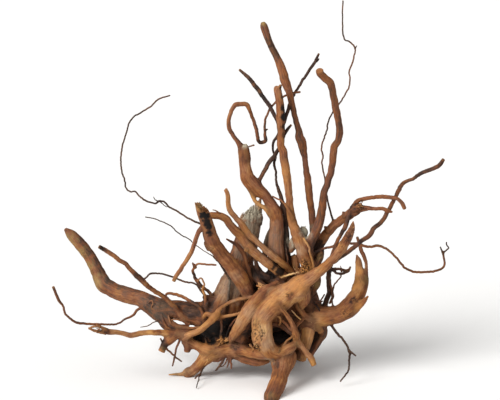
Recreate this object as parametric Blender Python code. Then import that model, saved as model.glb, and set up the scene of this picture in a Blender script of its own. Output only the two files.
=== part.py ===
"""Spiderwood root: one grown piece of wood, with every limb, stem and twig in a single solid.

Each limb is a route drawn on a sheet that stands across the middle of the crown, as the root is
seen by an eye in front of it and a little above it. A route point holds how far across and how far
down the sheet it is seen, how far toward the eye it stands, and how thick the limb is there, all in
millimetres of the sheet. Every route becomes a round tube, the tubes are joined into one solid, and
the three feet are cut flat where they meet the floor.
"""

import math

import bmesh
import bpy
from mathutils import Vector

ROOT_WIDTH = 0.396  # metres from the far left twig to the far right twig, sets the whole size
SHEET_WIDTH = 396.0  # the same distance in sheet millimetres
METRES_PER_SHEET_MM = ROOT_WIDTH / SHEET_WIDTH

EYE_DISTANCE = 2000.0  # sheet millimetres from the eye to the sheet
EYE_TILT = math.radians(12.0)  # how far the eye looks down
SHEET_MIDDLE_ACROSS = 250.0
SHEET_MIDDLE_DOWN = 200.0
SHEET_MIDDLE_HEIGHT = 185.0  # height above the floor of the sheet's middle

FLAT_ANGLE = math.radians(0.6)  # faces that differ less than this count as one flat face
SHORTEST_EDGE = 0.003 * METRES_PER_SHEET_MM  # shorter edges are closed up

FOUR_SIDED = 0
SIX_SIDED = 1
EIGHT_SIDED = 2
TEN_SIDED = 3
TWELVE_SIDED = 4

WOOD_COLOUR = (0.262, 0.139, 0.072, 1.0)
WOOD_ROUGHNESS = 0.62
WOOD_METALLIC = 0.0

# The thick heart of the crown, mostly hidden, that every other route runs into.
HEART = ("heart", EIGHT_SIDED, (
    (216, 324, -8, 12), (230, 326, -15, 14), (248, 322, -18, 16), (266, 317, -18, 17),
    (284, 313, -16, 16), (300, 315, -10, 13), (312, 317, -4, 9)))

CROWN_ROUTES = (
    ("heart_low", EIGHT_SIDED, (
        (222, 342, -6, 9), (238, 347, -8, 9.5), (254, 350, -8, 9.5), (270, 351, -4, 9),
        (282, 355, 6, 9), (283.5, 361, 22, 9))),
    ("heart_side", EIGHT_SIDED, ((222, 322, -10, 11), (220, 336, -9, 9), (226, 345, -6, 8.5))),
    ("hollow_wall", EIGHT_SIDED, (
        (202, 330, -20, 8), (220, 331, -26, 11), (240, 337, -27, 11), (262, 338, -26, 11),
        (281, 340, -22, 11.5), (295, 340, -18, 9))),
    ("heart_up", EIGHT_SIDED, (
        (268, 292, -16, 12), (280, 288, -15, 12), (294, 288, -12, 12), (305, 294, -8, 11),
        (310, 306, -5, 10))),
    ("front_strap", TEN_SIDED, (
        (353, 221.8, 72, 0.8), (352.3, 227, 70, 2.4), (349.5, 234.5, 65, 4), (346, 241, 60, 4.6),
        (342, 248, 54, 5), (337.5, 254.5, 49, 4.6), (331.5, 260.8, 44, 4.2), (325.5, 266, 40, 5),
        (319, 271.3, 36, 6), (311.5, 276.3, 32, 7), (303, 281.5, 29, 8.5), (294, 287, 26, 9.5),
        (285, 292.5, 25, 10.5), (276, 299.5, 26, 11), (268, 308, 29, 10), (263, 318, 33, 9.3),
        (262, 328, 36, 9.5), (262.8, 338, 37, 10), (267, 347, 37, 8.6), (274, 353, 36, 6.8),
        (282, 353, 34, 6), (289, 348.8, 32, 5.4), (294, 344, 29, 3.5))),
    ("strap_prop", EIGHT_SIDED, ((282, 296, 18, 9), (276, 304, 6, 10), (270, 312, -6, 11))),
    ("web_lobe", EIGHT_SIDED, (
        (298, 283, 22, 6), (301, 291, 20, 8.5), (303, 299, 18, 7), (302.3, 305, 17, 4),
        (301.7, 308.8, 17, 1.3))),
    ("left_strap", TEN_SIDED, (
        (277.5, 283, 8, 3), (273, 289, 14, 6.5), (265, 295, 19, 8), (257, 303, 24, 8.2),
        (249.5, 311.5, 27, 7.6), (243.5, 320.5, 28, 6), (238.5, 328, 27, 4.6), (233.5, 334.5, 24, 3),
        (230, 338, 20, 2.3))),
    ("bottom_band", EIGHT_SIDED, (
        (240, 349, 10, 4.5), (252, 353, 19, 4.8), (264, 355.3, 27, 4.6), (275, 355, 31, 4.6))),
    ("bottom_root", EIGHT_SIDED, (
        (236, 353, 4, 5), (245, 358.8, 8, 4.6), (255, 361.3, 11, 4.7), (262, 361.5, 13, 3.3),
        (269, 361, 15, 1.6))),
    ("front_leg", TWELVE_SIDED, (
        (284, 352, 18, 7.5), (283.5, 355, 24, 10), (283, 361, 31, 10.2), (282, 367.5, 38, 8.9),
        (280.5, 374, 45, 8.1), (278.5, 381, 52, 8), (276, 388, 59, 8.3), (273.5, 395, 66, 7.6),
        (271.5, 402, 73, 7.2))),
    ("right_diagonal", SIX_SIDED, (
        (278, 305, 34, 1.6), (283, 310.5, 33, 1.8), (289, 318, 31, 2), (293.5, 327, 29, 2.4),
        (296, 335, 27, 3.4), (298, 342, 24, 3), (302.5, 347.5, 22, 2.5), (307, 353.5, 22, 2.6),
        (311, 358.5, 22, 3), (314, 365, 22, 2.4))),
    ("cross_strand", FOUR_SIDED, ((307, 316, 10, 1.6), (300, 322, 19, 1.3), (294.5, 328.5, 27, 1.6))),
    ("hollow_band", SIX_SIDED, (
        (268, 324, 27, 1.8), (277, 324.5, 22, 2), (284, 327.5, 20, 2.2), (290, 332.5, 22, 1.9),
        (296, 337, 26, 2))),
    ("web_root", SIX_SIDED, (
        (295, 297, 15, 3), (298, 306, 15, 3), (302, 312.5, 13, 2.8), (307, 317, 11, 2.6),
        (313, 321.5, 8, 2.3), (318, 327, 5, 2.6), (321, 331, 3, 3))),
    ("right_short_root", TEN_SIDED, (
        (307, 317, 0, 6), (308.5, 326, 5, 5.9), (307, 337, 6, 6), (305, 345, 6, 5.6),
        (302, 351.5, 5, 6.2), (300, 358, 4, 6.2))),
    ("striped_root", EIGHT_SIDED, (
        (318, 320, 2, 4), (322.5, 327, 1, 4.1), (323.7, 333, 0, 3.6), (320.5, 339.3, -1, 3),
        (316.5, 344.8, -1, 2.8), (313, 350.5, -1, 2.6), (311.3, 355.5, -1, 1.8))),
    ("shadow_flap", SIX_SIDED, (
        (318, 277, 14, 2.6), (318, 284, 10, 3), (315.5, 290, 6, 3.2), (313.5, 297, 3, 3.2),
        (312, 305, 0, 4), (311, 312, -2, 4))),
    ("stub_root", EIGHT_SIDED, ((294, 255.5, -6, 3), (295, 262, -6, 4), (296, 271, -7, 5),
                                (297, 281, -9, 6))),
    ("light_splinter", FOUR_SIDED, ((281.5, 277.6, 8, 0.8), (290, 274.6, 8, 1), (301, 272, 8.5, 1),
                                    (308.5, 269, 8, 0.9))),
)

LEFT_ROUTES = (
    ("long_left_limb", TEN_SIDED, (
        (66, 229.5, -52, 1.6), (71, 234, -50, 4.6), (80, 243, -46, 5.5), (88.7, 254, -42, 5.2),
        (94.5, 264, -38, 5.4), (98.7, 272, -35, 5.6), (104, 283.5, -30, 6.8), (113, 289, -26, 6.6),
        (125, 293.8, -21, 7.5), (140, 298.3, -16, 7.6), (150, 304, -12, 9.3), (160, 308.5, -9, 10.5),
        (170, 309, -7, 8.5), (180, 310, -6, 8.8), (190, 313, -5, 10.5), (200, 314.5, -5, 12),
        (210, 318, -6, 14), (222, 322, -8, 13))),
    ("limb_lower_fork", EIGHT_SIDED, (
        (150, 309, -6, 4), (163, 319.5, 0, 5), (170, 325, 2, 3.6), (178, 327.5, 4, 2.6),
        (186, 329.5, 6, 2.4), (193, 333, 8, 2.4))),
    ("left_rod", SIX_SIDED, (
        (99.5, 246, 44, 1.7), (110, 252, 40, 1.9), (120, 259.5, 37, 2), (126, 263.5, 34, 1.9),
        (131, 270, 30, 2), (141, 279.5, 24, 2.5), (150, 288, 18, 2.1), (160, 294.5, 13, 2.1),
        (170, 302.5, 8, 2.4), (179, 312.5, 4, 2.4), (185, 319.5, 1, 2.6), (190, 323, -2, 1.8))),
    ("long_left_twig", FOUR_SIDED, (
        (53.5, 287, 42, 1), (59.5, 300.5, 38, 1.2), (62.7, 305.5, 36, 1.1), (66, 314.5, 32, 1.1),
        (71, 319.5, 29, 1.1), (77, 323, 25, 1.2), (100, 324, 14, 1.1), (117, 324, 6, 1),
        (125, 319.5, 1, 1), (134, 314.5, -4, 1.2), (137, 310, -7, 1.3), (149, 306, -11, 1.3))),
    ("lower_left_arm", SIX_SIDED, (
        (87.5, 328.5, 36, 1.2), (97, 328.3, 32, 1.8), (106, 332, 28, 2.1), (120, 332.5, 22, 1.9),
        (132, 334.5, 18, 2.4), (148, 331.5, 13, 2.3), (165, 332.5, 9, 2.8), (178, 333.5, 7, 3),
        (190, 335.5, 6, 3.2))),
    ("dark_link", FOUR_SIDED, (
        (144, 278.5, -18, 0.8), (151.5, 273.2, -17, 0.9), (163, 273.7, -15, 0.9),
        (185, 281.5, -10, 0.9), (196, 284.5, -8, 0.9), (200.5, 290, -7, 1.2), (206, 298.5, -5, 1.2),
        (207.5, 309, -4, 1.3))),
    ("small_arch_twig", SIX_SIDED, (
        (165.5, 300.5, -5, 1), (166.5, 294.3, -4, 1.2), (176, 294.3, -2, 1.4), (184, 297.5, 0, 1.5),
        (192, 302, 3, 1.5), (199, 306.5, 6, 1.5), (203.5, 314.5, 8, 1.6), (203.5, 321, 6, 1.7))),
    ("top_left_twig", FOUR_SIDED, (
        (170, 95.5, -52, 0.7), (158, 99.5, -52, 0.8), (152.5, 105, -51, 0.8), (141, 112.5, -50, 0.8),
        (133, 117.3, -48, 0.8), (129, 123.5, -46, 0.8), (126.5, 132, -44, 0.8),
        (121.5, 151, -40, 0.8), (121.5, 170, -34, 0.8), (124.7, 180, -30, 0.8),
        (126, 188, -27, 0.8), (131, 191.5, -24, 0.8), (134.5, 191.3, -22, 0.8),
        (145, 200.7, -15, 0.9), (156.5, 203, -9, 0.9), (159, 201.2, -8, 1), (164, 201.5, -5, 0.9),
        (169, 206.5, 0, 0.9), (180, 213, 9, 0.9), (187, 217.5, 16, 0.9), (205, 226, 31, 1.1))),
    ("mid_left_twig", FOUR_SIDED, (
        (144.5, 217.3, -24, 0.7), (164, 222.8, -12, 0.8), (171, 226, -8, 0.8), (180, 234, -2, 0.8),
        (187.5, 237.5, 2, 0.8), (197, 244.5, 6, 0.8), (215, 258.5, 8, 0.9), (221, 265, 8, 1.1),
        (226, 273, 6, 1.2), (230, 281, 2.5, 1.4), (229, 287, 2.5, 1.4), (227.5, 301, 5.5, 1.4),
        (223, 312, 6, 1.4))),
    ("hanging_twig", SIX_SIDED, (
        (205, 226, 32, 1.8), (200, 229.5, 34, 2), (192.3, 250, 38, 2), (186.8, 260, 40, 1.9),
        (175.5, 277, 43, 1.9), (173.5, 281, 43, 1.7))),
    ("broken_stump", EIGHT_SIDED, (
        (200, 201.7, 42, 1.5), (200.5, 205, 41, 4.4), (202, 210, 40, 4.8), (206, 220, 36, 5.5),
        (209.5, 230, 32, 5.9), (212.5, 240, 28, 6.9), (215, 246, 25, 7.2), (219.5, 252, 22, 6.8),
        (225, 258, 19, 6.9), (231.5, 266, 15, 7.2), (239, 276, 12, 7.6), (245, 287, 9, 6.6),
        (250, 297, 6, 6.4), (254, 307, 1, 8))),
    ("arch_root", EIGHT_SIDED, (
        (213, 215.5, 16, 3), (221, 216.3, 16, 3.5), (226.5, 219, 15, 3.8), (231, 225, 15, 3.9),
        (240, 235, 14, 4.3), (249, 247, 13, 4.6), (264, 260.5, 11, 4.3), (276, 270, 8, 4),
        (284, 277, 2, 4.2), (288, 285, -5, 5))),
    ("top_stem_left", SIX_SIDED, (
        (225.5, 189.3, 16, 1.7), (227.5, 194, 16, 2), (228.5, 205, 15, 2.2), (230, 210, 15, 2.4),
        (236.5, 218.5, 14, 2.4), (243, 226, 13, 3.2), (249, 235, 13, 3.3), (257, 242, 13, 2.8),
        (268, 252, 12, 3), (279, 260.5, 9, 3.2), (285, 265.5, 5, 3.2), (291, 272, -2, 3.5))),
    ("back_trunk", TEN_SIDED, (
        (252, 208.5, -20, 6), (252, 213, -20, 8.5), (249, 228, -19, 10), (245, 245, -18, 11.5),
        (240, 262, -16, 12), (236, 278, -14, 13), (231, 292, -12, 14.5), (226, 306, -9, 15),
        (224, 320, -8, 14))),
    ("spike_left", SIX_SIDED, (
        (226.5, 239, 6, 0.8), (238, 246, 6, 1.9), (244, 255, 5, 2.4), (247, 266, 4, 2.4),
        (250, 275, 3, 2.2), (254, 299, -3, 2.6))),
    ("arch_rootlet", FOUR_SIDED, ((254.5, 256, 10, 1.4), (257, 267, 6, 1.6), (262, 274, 2, 1.5))),
    ("behind_stick", FOUR_SIDED, (
        (272, 225, -3, 1.6), (266.5, 235, -8, 1.6), (262, 245, -10, 1.6), (260.5, 256, -12, 1.5),
        (258, 262, -13, 1.5), (248, 270, -14, 1.6))),
    ("hook_twig", FOUR_SIDED, (
        (216, 265, 6, 0.9), (205, 264.3, 4, 1), (198, 264, 2, 1), (195, 266.5, 1, 1.1),
        (192.7, 271, 0, 1.3), (194, 275.5, -1, 1.3), (198, 282, -2, 1.8), (203.5, 287.5, -2, 1.4),
        (210, 293.5, -3, 1.5), (212.5, 303, -3, 1.4), (213, 312, -4, 1.6))),
    ("bundle_twig", FOUR_SIDED, (
        (199, 280, 2, 0.9), (201, 278.3, 3, 0.9), (204.5, 282, 3, 0.9), (202, 288.5, 3, 1.2),
        (206, 299, 3, 1.2), (204.8, 312, 4, 1.3))),
    ("bright_brace", SIX_SIDED, (
        (184, 338, 7, 3.2), (188, 335, 12, 3), (198, 331, 17, 2.8), (208, 323.5, 21, 2.9),
        (215, 316.5, 22, 3.4), (222, 307, 17, 1.6), (232, 301.5, 13, 1.6), (243, 298.5, 12, 1.6),
        (253, 297, 14, 1.8))),
    ("brace_hook", SIX_SIDED, ((213, 316, 21, 2), (207, 314, 17, 2), (203.5, 318.5, 8, 1.7))),
    ("brace_arm", FOUR_SIDED, ((216, 316, 22, 2), (224, 316.5, 20, 1.4), (247, 311, 22, 1.4))),
    ("brace_prop", FOUR_SIDED, ((217, 316, 21, 1.6), (221.5, 322, 18, 1.2), (221, 334, 14, 1.2),
                                (221.5, 344, 9, 1.3))),
    ("left_crown_root", EIGHT_SIDED, (
        (185, 340, 6, 4), (197, 346, 6, 4.5), (206, 349, 6, 5), (216, 350, 6, 6))),
    ("stub_down", SIX_SIDED, ((187, 339, 7, 3.2), (187, 351.5, 7, 2.9))),
    ("spike_root", EIGHT_SIDED, (
        (169.5, 374.7, -4, 0.7), (182, 373.7, -4, 1.8), (187, 372.8, -3, 3), (194.5, 370.5, -2, 4.1),
        (201.5, 363.5, 0, 5.1), (207, 357, 2, 7), (212, 353, 4, 8.3), (220, 350, 5, 8.5),
        (232, 348, 6, 8), (244, 346, 6, 7.5))),
    ("left_foot", EIGHT_SIDED, ((189, 371.5, -3, 3.2), (188, 380, -3, 3.2))),
    ("spike_rootlet", FOUR_SIDED, ((203.5, 365, 1, 1), (201, 372, 6, 0.9), (195, 378.5, 13, 0.7))),
    ("low_rootlet", FOUR_SIDED, ((225, 356, 10, 1.4), (221, 364, 12, 1.2), (215.5, 370.5, 14, 0.9))),
    ("hanging_rootlet", FOUR_SIDED, ((230, 355, 10, 1.2), (231, 363, 12, 1), (231.3, 368.5, 13, 0.8))),
    ("lower_left_stub", EIGHT_SIDED, (
        (188, 334, 6, 3), (176, 336, 8, 3), (170, 341, 10, 3.5), (162.5, 350.5, 12, 2.3))),
    ("stub_twig", FOUR_SIDED, (
        (160.5, 338.5, 13, 0.8), (164.5, 346, 13, 1), (171, 353, 14, 1), (181.5, 361.5, 16, 0.8))),
    ("left_hanger", FOUR_SIDED, ((181, 337, 8, 1.2), (176.5, 348, 11, 1), (174, 360, 13, 0.9),
                                 (172.5, 366, 14, 0.7))),
)

TOP_ROUTES = (
    ("loop_stem", TEN_SIDED, (
        (244.5, 147, -2, 3.6), (244.5, 152, -2, 5), (247, 170, -1, 5.4), (249.5, 179, 0, 6.4),
        (257, 189.5, 0, 6.9), (262.5, 196, 0, 6.3), (269, 204, 0, 6.3), (273.5, 211, 0, 7),
        (276.5, 221, 0, 6.7), (276.7, 232, 0, 6.7), (275.8, 243, 0, 7.5), (276.3, 254, 0, 8.3),
        (277, 266, -5, 8.5), (277, 282, -12, 9))),
    ("loop_side_strap", SIX_SIDED, (
        (251, 190, 2, 2), (254.5, 200, 3, 1.7), (258, 203.8, 3, 1.8), (263, 207.3, 3, 1.8),
        (270, 213, 2, 2.4))),
    ("loop_pale_stub", SIX_SIDED, ((246.5, 157, 0, 3.4), (246, 147, 0, 2.4), (244.5, 142.5, 0, 1.2))),
    ("loop_thin_end", SIX_SIDED, (
        (243.5, 151, -3, 3), (239.5, 143, -4, 1.9), (236, 138, -5, 1.7), (229.5, 127, -7, 1.9),
        (229, 120, -8, 1.8), (231, 112, -9, 1.7), (233, 107, -10, 1.8), (237, 103.3, -11, 1.9),
        (243, 103, -12, 1.8), (248, 105.8, -13, 1.8), (250.5, 113, -14, 1.5), (256.5, 128, -15, 1.5),
        (258, 138.5, -15, 1.6), (260, 142, -15, 1.6), (265, 140.8, -15, 1.7), (265, 134, -16, 1.3),
        (265.5, 119, -18, 1.1), (274, 103.5, -22, 1), (280, 98.5, -24, 1), (291, 93.5, -29.5, 1),
        (300, 92, -31, 1.1))),
    ("stem_a", EIGHT_SIDED, (
        (278, 83.5, -8, 2.8), (277.9, 88, -8, 3.4), (280, 102, -6, 3.6), (280.5, 112, -5, 3.9),
        (281, 134, -3, 3.6), (281, 145, -2, 3.6), (283, 152, -1, 3.8), (286.8, 176, 1, 3.8),
        (288.5, 190, 3, 3.4), (289.8, 203, 4, 3.7), (291.5, 215, 5, 4.4), (294, 226, 6, 5),
        (298, 237, 6, 5.8), (302, 248, 6, 6.3), (305.5, 258, 5, 6.5), (308, 268, 3, 6.5),
        (306, 282, -4, 8))),
    ("stem_b", EIGHT_SIDED, (
        (263, 22.5, -50, 1.8), (263.7, 25, -50, 3.3), (268.5, 40, -46, 3), (272, 49, -43, 2.9),
        (277, 57, -40, 3), (284, 73, -32, 3.9), (285.5, 81, -28, 3.9), (289.3, 91, -24, 3.1),
        (293.3, 110, -19, 2.8), (298.2, 129, -16, 2.9), (300.8, 138, -15, 4), (302.8, 147, -14, 3.8),
        (304.7, 158, -13, 2.6), (308.2, 184, -11, 3.4), (311.3, 210, -10, 3.1), (313, 224, -9, 3.4),
        (313, 254, -6, 4), (308, 272, -5, 5))),
    ("stem_c", EIGHT_SIDED, (
        (318.7, 67, 31, 2.6), (319, 69.5, 30, 3.3), (320.7, 74, 29, 3.4), (325, 78.3, 27, 3.3),
        (329.2, 82.5, 26, 3.3), (331.8, 89, 24, 3.3), (335.4, 106, 20, 3.3), (339, 124, 16, 3.1),
        (339.6, 133, 14, 3.2), (337.8, 141, 12, 3.2), (334, 148.5, 11, 3.4), (332.2, 166, 9, 3.1),
        (327, 184, 7, 3.1), (323.7, 192.5, 6, 3), (321.4, 210, 5, 3.2), (317.5, 226, 5, 3.6),
        (310, 244, 5, 4.3), (305, 256, 4, 5))),
    ("stick_one", SIX_SIDED, (
        (239.5, 69.8, -42, 1.2), (255, 84.5, -31, 1.9), (262, 94, -24, 1.7), (269, 104, -16, 1.6),
        (281, 127, -5, 1.5))),
    ("stick_two", SIX_SIDED, (
        (319, 53.5, -50, 1), (314.5, 62.5, -48, 1.4), (302, 81.5, -42, 1.3), (292, 98, -34, 1.3),
        (287.5, 111.5, -16, 1.6), (282.5, 128, -6, 1.3))),
    ("stick_three", SIX_SIDED, (
        (291.3, 124.7, -9, 1.1), (286, 131.5, -9, 1.5), (281, 143, -7, 1.4), (276, 152.5, -6, 1.6),
        (267, 163.5, -4, 1.9), (256, 183, -2, 1.3))),
    ("dark_twist", SIX_SIDED, (
        (279, 134.5, -4, 1.2), (274, 141, -6, 1.3), (272.8, 150, -8, 1.1), (275.5, 157.5, -8, 1.2),
        (274, 163.5, -8, 1.2), (276, 172, -8, 1.1), (276.2, 181, -7, 1.1), (278.5, 190, -6, 1.5),
        (284, 209, -4, 1.8), (285.5, 222, -4, 2.1), (287, 240, -5, 2.3), (288.5, 255, -6, 2.4),
        (289, 274, -9, 3))),
    ("front_thread", FOUR_SIDED, ((284, 238, -4, 0.9), (285.5, 247, 1, 0.9), (287.5, 258, 3, 0.9),
                                  (287, 268, 3, 1))),
    ("across_thread", FOUR_SIDED, ((272.5, 196.3, 2, 0.8), (283, 202, 5, 0.9), (288, 209, 8, 1.2),
                                   (293, 219, 9, 1.3))),
    ("fine_top_twig", FOUR_SIDED, (
        (343, 0.8, -42, 0.7), (342.5, 14, -40, 0.7), (344.5, 39, -35, 0.8), (349.5, 41.5, -34, 0.8),
        (355, 48.5, -32, 0.8), (352.5, 62, -28, 0.8), (349, 73, -24, 0.8), (350.3, 79, -22, 0.8),
        (348.8, 87, -19, 0.8), (341, 101, -13, 0.8), (330, 117, -10, 0.8), (326.5, 131, -8, 0.8),
        (321.3, 150, -7, 0.8), (323, 155, -6, 0.8), (322, 162, -6, 0.8), (325, 180, -5, 0.8),
        (327, 197, -4, 0.9), (331, 214, -4, 1), (335, 226, -3, 1.1))),
)

RIGHT_ROUTES = (
    ("arm_one", EIGHT_SIDED, (
        (392, 212, 14, 1), (387.5, 210.6, 13, 1.9), (383, 209, 12, 1.5), (369, 208, 10, 1.5),
        (359, 208.5, 8, 3.4), (354, 211, 6, 4), (348, 214.5, 3, 3.7), (340, 220, 0, 3.7),
        (333, 226, -3, 4.1), (327, 233, -5, 4.4), (321.5, 241, -6, 4.8), (316, 250, -6, 5),
        (309, 264, -6, 6))),
    ("arm_two", SIX_SIDED, (
        (404.3, 206.8, 31, 1.5), (402, 202.5, 28, 1.7), (397, 198.5, 23, 1.5), (389, 196.8, 17, 1.8),
        (374, 196.5, 12, 1.6), (360, 198.7, 9, 1.7), (355.5, 201.5, 8, 1.9), (349.5, 213.5, 8, 1.8),
        (346, 225, 12, 2.2), (341, 234.5, 18, 1.7), (336, 244.5, 27, 1.8), (331, 259, 41, 1.8))),
    ("arm_three", SIX_SIDED, (
        (443.5, 159.5, 52, 1.6), (439, 165.5, 49, 1.9), (421, 173.5, 38, 1.7), (411, 180, 30, 1.5),
        (405, 182, 25, 1.7), (400.5, 187, 19, 2), (395, 198, 12, 1.8), (387, 213, 9, 1.9),
        (381, 222.5, 11, 1.9), (373, 229.5, 15, 2.1), (369, 236, 19, 2.3), (362, 240.5, 24, 2),
        (349, 251, 35, 2), (335, 260, 43, 2.4))),
    ("thin_right_twig", FOUR_SIDED, (
        (308, 255, 4, 1.5), (322, 249.2, 3, 1.2), (338, 245, 6, 1.2), (350, 243.6, 9, 1.2),
        (358, 243.8, 12, 1.3), (364, 245.8, 12, 1.3), (371, 247, 10, 1.2), (376, 245.5, 8, 1.3),
        (381, 246.5, 6, 1.2), (389, 251, 1, 1.1), (396, 257.5, -4, 1.1), (405, 267.8, -11, 1.1),
        (411, 270.8, -15, 1.1), (418, 272, -19, 1.1), (436, 270.8, -30, 1.1), (442.5, 268, -34, 1.1),
        (444.4, 264.8, -35, 1.1), (443, 252.3, -38, 1))),
    ("thin_fork_short", FOUR_SIDED, ((443.1, 253, -38, 0.9), (440.3, 247, -39, 0.7))),
    ("thin_fork_long", FOUR_SIDED, ((443, 252.6, -38, 0.9), (448.6, 248, -40, 0.7),
                                    (446.6, 245.2, -41, 0.7), (446.5, 242.3, -42, 0.7))),
    ("right_horn", TEN_SIDED, (
        (303, 315, -4, 9), (313, 316, 0, 8.4), (322, 316.3, 3, 8.6), (331, 315.7, 4, 9),
        (339, 312.8, 4, 9), (346, 307.5, 3, 9), (352, 301, 2, 8.6), (356.5, 294.5, 0, 8),
        (360, 288, -3, 7.4), (361.3, 281, -6, 6.6), (360.6, 274, -9, 4.8), (359.5, 267, -12, 3.2),
        (358.8, 261, -15, 2.4), (357.5, 256, -18, 0.8))),
    ("horn_barb", EIGHT_SIDED, (
        (351, 309, 4, 5.5), (357, 306, 6, 4), (362, 302.5, 8, 2.8), (367.4, 297.5, 10, 0.8))),
    ("horn_strand", SIX_SIDED, (
        (357.3, 237.3, -16, 1.3), (358.8, 242, -15, 1.5), (361, 250, -12, 1.8), (363.7, 257, -10, 1.9),
        (365.3, 264, -9, 1.7), (365, 273, -8, 2.5))),
    ("dark_riser", SIX_SIDED, (
        (323.5, 309, -2, 2.3), (326.5, 300.5, -4, 2.5), (329.5, 293, -5, 2), (328.7, 278, -3, 1.9),
        (329.3, 270.5, 4, 2.1), (331, 264, 20, 2), (333, 259, 40, 2))),
    ("knotty_twig", FOUR_SIDED, (
        (329, 269.5, 5, 1.4), (341, 269.2, 8, 1.2), (347.5, 271, 10, 1.3), (350.4, 267, 12, 1))),
    ("knotty_loop", FOUR_SIDED, (
        (332, 269.5, 5.5, 1.1), (337, 273, 8, 1.2), (343, 273.6, 9, 1.2), (348, 271, 10, 1.2))),
    ("fine_hanger", FOUR_SIDED, (
        (340.8, 273.5, 8.5, 0.8), (340.8, 277, 7, 0.7), (334.3, 284.7, 4, 0.8), (332.5, 294, 2, 1),
        (331.7, 300, 2, 0.9), (334, 309, 3, 0.9))),
    ("curl_rootlet", FOUR_SIDED, (
        (312.5, 299, 3, 0.9), (316, 301.6, 6, 0.9), (320, 301, 8, 0.8), (324.5, 294.5, 10, 0.7))),
    ("right_lower_twig", FOUR_SIDED, (
        (329, 322, 4, 1.2), (338, 334.5, 10, 1.2), (342.5, 338.8, 13, 1.1), (349.2, 351.5, 20, 1.1),
        (349.2, 363, 26, 0.9), (348.3, 370, 29, 0.9), (340.3, 381.5, 34, 0.7))),
    ("right_lower_shoot", FOUR_SIDED, ((349, 351, 20, 1), (355.8, 355.7, 24, 0.8))),
    ("pale_stub_right", EIGHT_SIDED, (
        (305, 229.5, -3, 2.2), (303, 233.5, -3, 4.3), (299.5, 238.5, -3, 5), (295, 243, -2, 4.4),
        (291.5, 248.5, -2, 2))),
    ("short_prop", SIX_SIDED, ((320.7, 250.5, 0, 2.2), (318.8, 256, 0, 2.5), (316, 264, 0, 2.7),
                               (311, 274, -4, 4.5))),
)

# The unseen back: roots and twigs that run away from the eye, behind what the front shows.
BACK_ROUTES = (
    ("back_leg", TEN_SIDED, (
        (296, 328, -18, 9), (299, 337, -34, 7.6), (301, 345, -48, 6.6), (301, 351, -59, 5.9),
        (300.5, 357, -67, 5.4), (300, 363, -74, 5.2))),
    ("back_root_left", EIGHT_SIDED, (
        (230, 336, -18, 8), (226, 340, -32, 6.8), (228, 344, -46, 5.6), (224, 345, -60, 4.6),
        (227, 342, -76, 3.2), (224, 341, -92, 1.2))),
    ("back_limb_up", EIGHT_SIDED, (
        (243, 270, -26, 8.5), (246, 256, -38, 6.8), (251, 243, -47, 5.6), (250, 230, -58, 4.6),
        (253, 221, -70, 3.4), (251, 213, -80, 1.6))),
    ("back_limb_right", EIGHT_SIDED, (
        (289, 300, -22, 9.5), (296, 294, -40, 7.4), (297, 286, -56, 6), (303, 286, -74, 4.6),
        (300, 291, -92, 3), (304, 290, -108, 1.2))),
    ("back_limb_left", EIGHT_SIDED, (
        (220, 318, -20, 9), (209, 317, -38, 6.8), (200, 310, -52, 5.4), (188, 313, -66, 4.4),
        (180, 308, -84, 3), (168, 309, -100, 1))),
    ("back_limb_far_right", EIGHT_SIDED, (
        (318, 316, -6, 7), (326, 314, -28, 5.8), (337, 314, -44, 4.6), (343, 308, -62, 3.2),
        (352, 298, -82, 1.2))),
    ("back_root_low", EIGHT_SIDED, (
        (256, 336, -22, 7.5), (258, 343, -40, 5.8), (254, 346, -56, 4.2), (250, 341, -86, 1.2))),
    ("back_twig_left", FOUR_SIDED, (
        (196, 311, -57, 1.8), (200, 305, -72, 1.2), (205, 305, -86, 1), (203, 309, -102, 0.8))),
    ("back_twig_right", FOUR_SIDED, (
        (300, 286, -66, 1.8), (295, 281, -82, 1.2), (291, 284, -98, 1), (288, 289, -112, 0.8))),
    ("back_twig_far_right", FOUR_SIDED, (
        (338, 313, -48, 1.8), (344, 313, -68, 1.2), (345, 308, -84, 1), (348, 303, -98, 0.8))),
    ("back_twig_up", FOUR_SIDED, (
        (250, 236, -53, 1.8), (245, 228, -68, 1.2), (246, 220, -82, 1), (251, 217, -96, 0.8))),
    ("back_twig_heart", FOUR_SIDED, (
        (268, 318, -30, 1.8), (274, 308, -52, 1.3), (270, 302, -70, 1.1), (276, 300, -92, 0.8))),
    ("back_twig_low", FOUR_SIDED, (
        (281, 340, -30, 1.6), (283, 346, -48, 1.2), (279, 349, -60, 1), (281, 351, -72, 0.8))),
    ("back_twig_root", FOUR_SIDED, (
        (228, 343, -44, 1.6), (236, 346, -56, 1.1), (241, 343, -70, 0.9), (240, 339, -84, 0.8))),
    ("back_twig_trunk", FOUR_SIDED, (
        (232, 296, -22, 1.6), (226, 290, -42, 1.2), (229, 283, -58, 1), (225, 281, -74, 0.8))),
)


def sheet_to_space(across, down, toward):
    """Return the point in metres seen at one place of the sheet, and how far its sight line reaches.

    The sight line leaves the eye, drops with the tilt of the eye and with the place on the sheet,
    and is followed until it stands the wanted distance toward the eye from the middle plane.
    """
    rise = (SHEET_MIDDLE_DOWN - down) / EYE_DISTANCE
    level = math.cos(EYE_TILT)
    drop = math.sin(EYE_TILT)
    reach = (EYE_DISTANCE * level - toward) / (level + rise * drop)
    x = (across - SHEET_MIDDLE_ACROSS) * reach / EYE_DISTANCE
    z = SHEET_MIDDLE_HEIGHT + EYE_DISTANCE * drop + reach * (rise * level - drop)
    return Vector((x, -toward, z)) * METRES_PER_SHEET_MM, reach / EYE_DISTANCE


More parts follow.
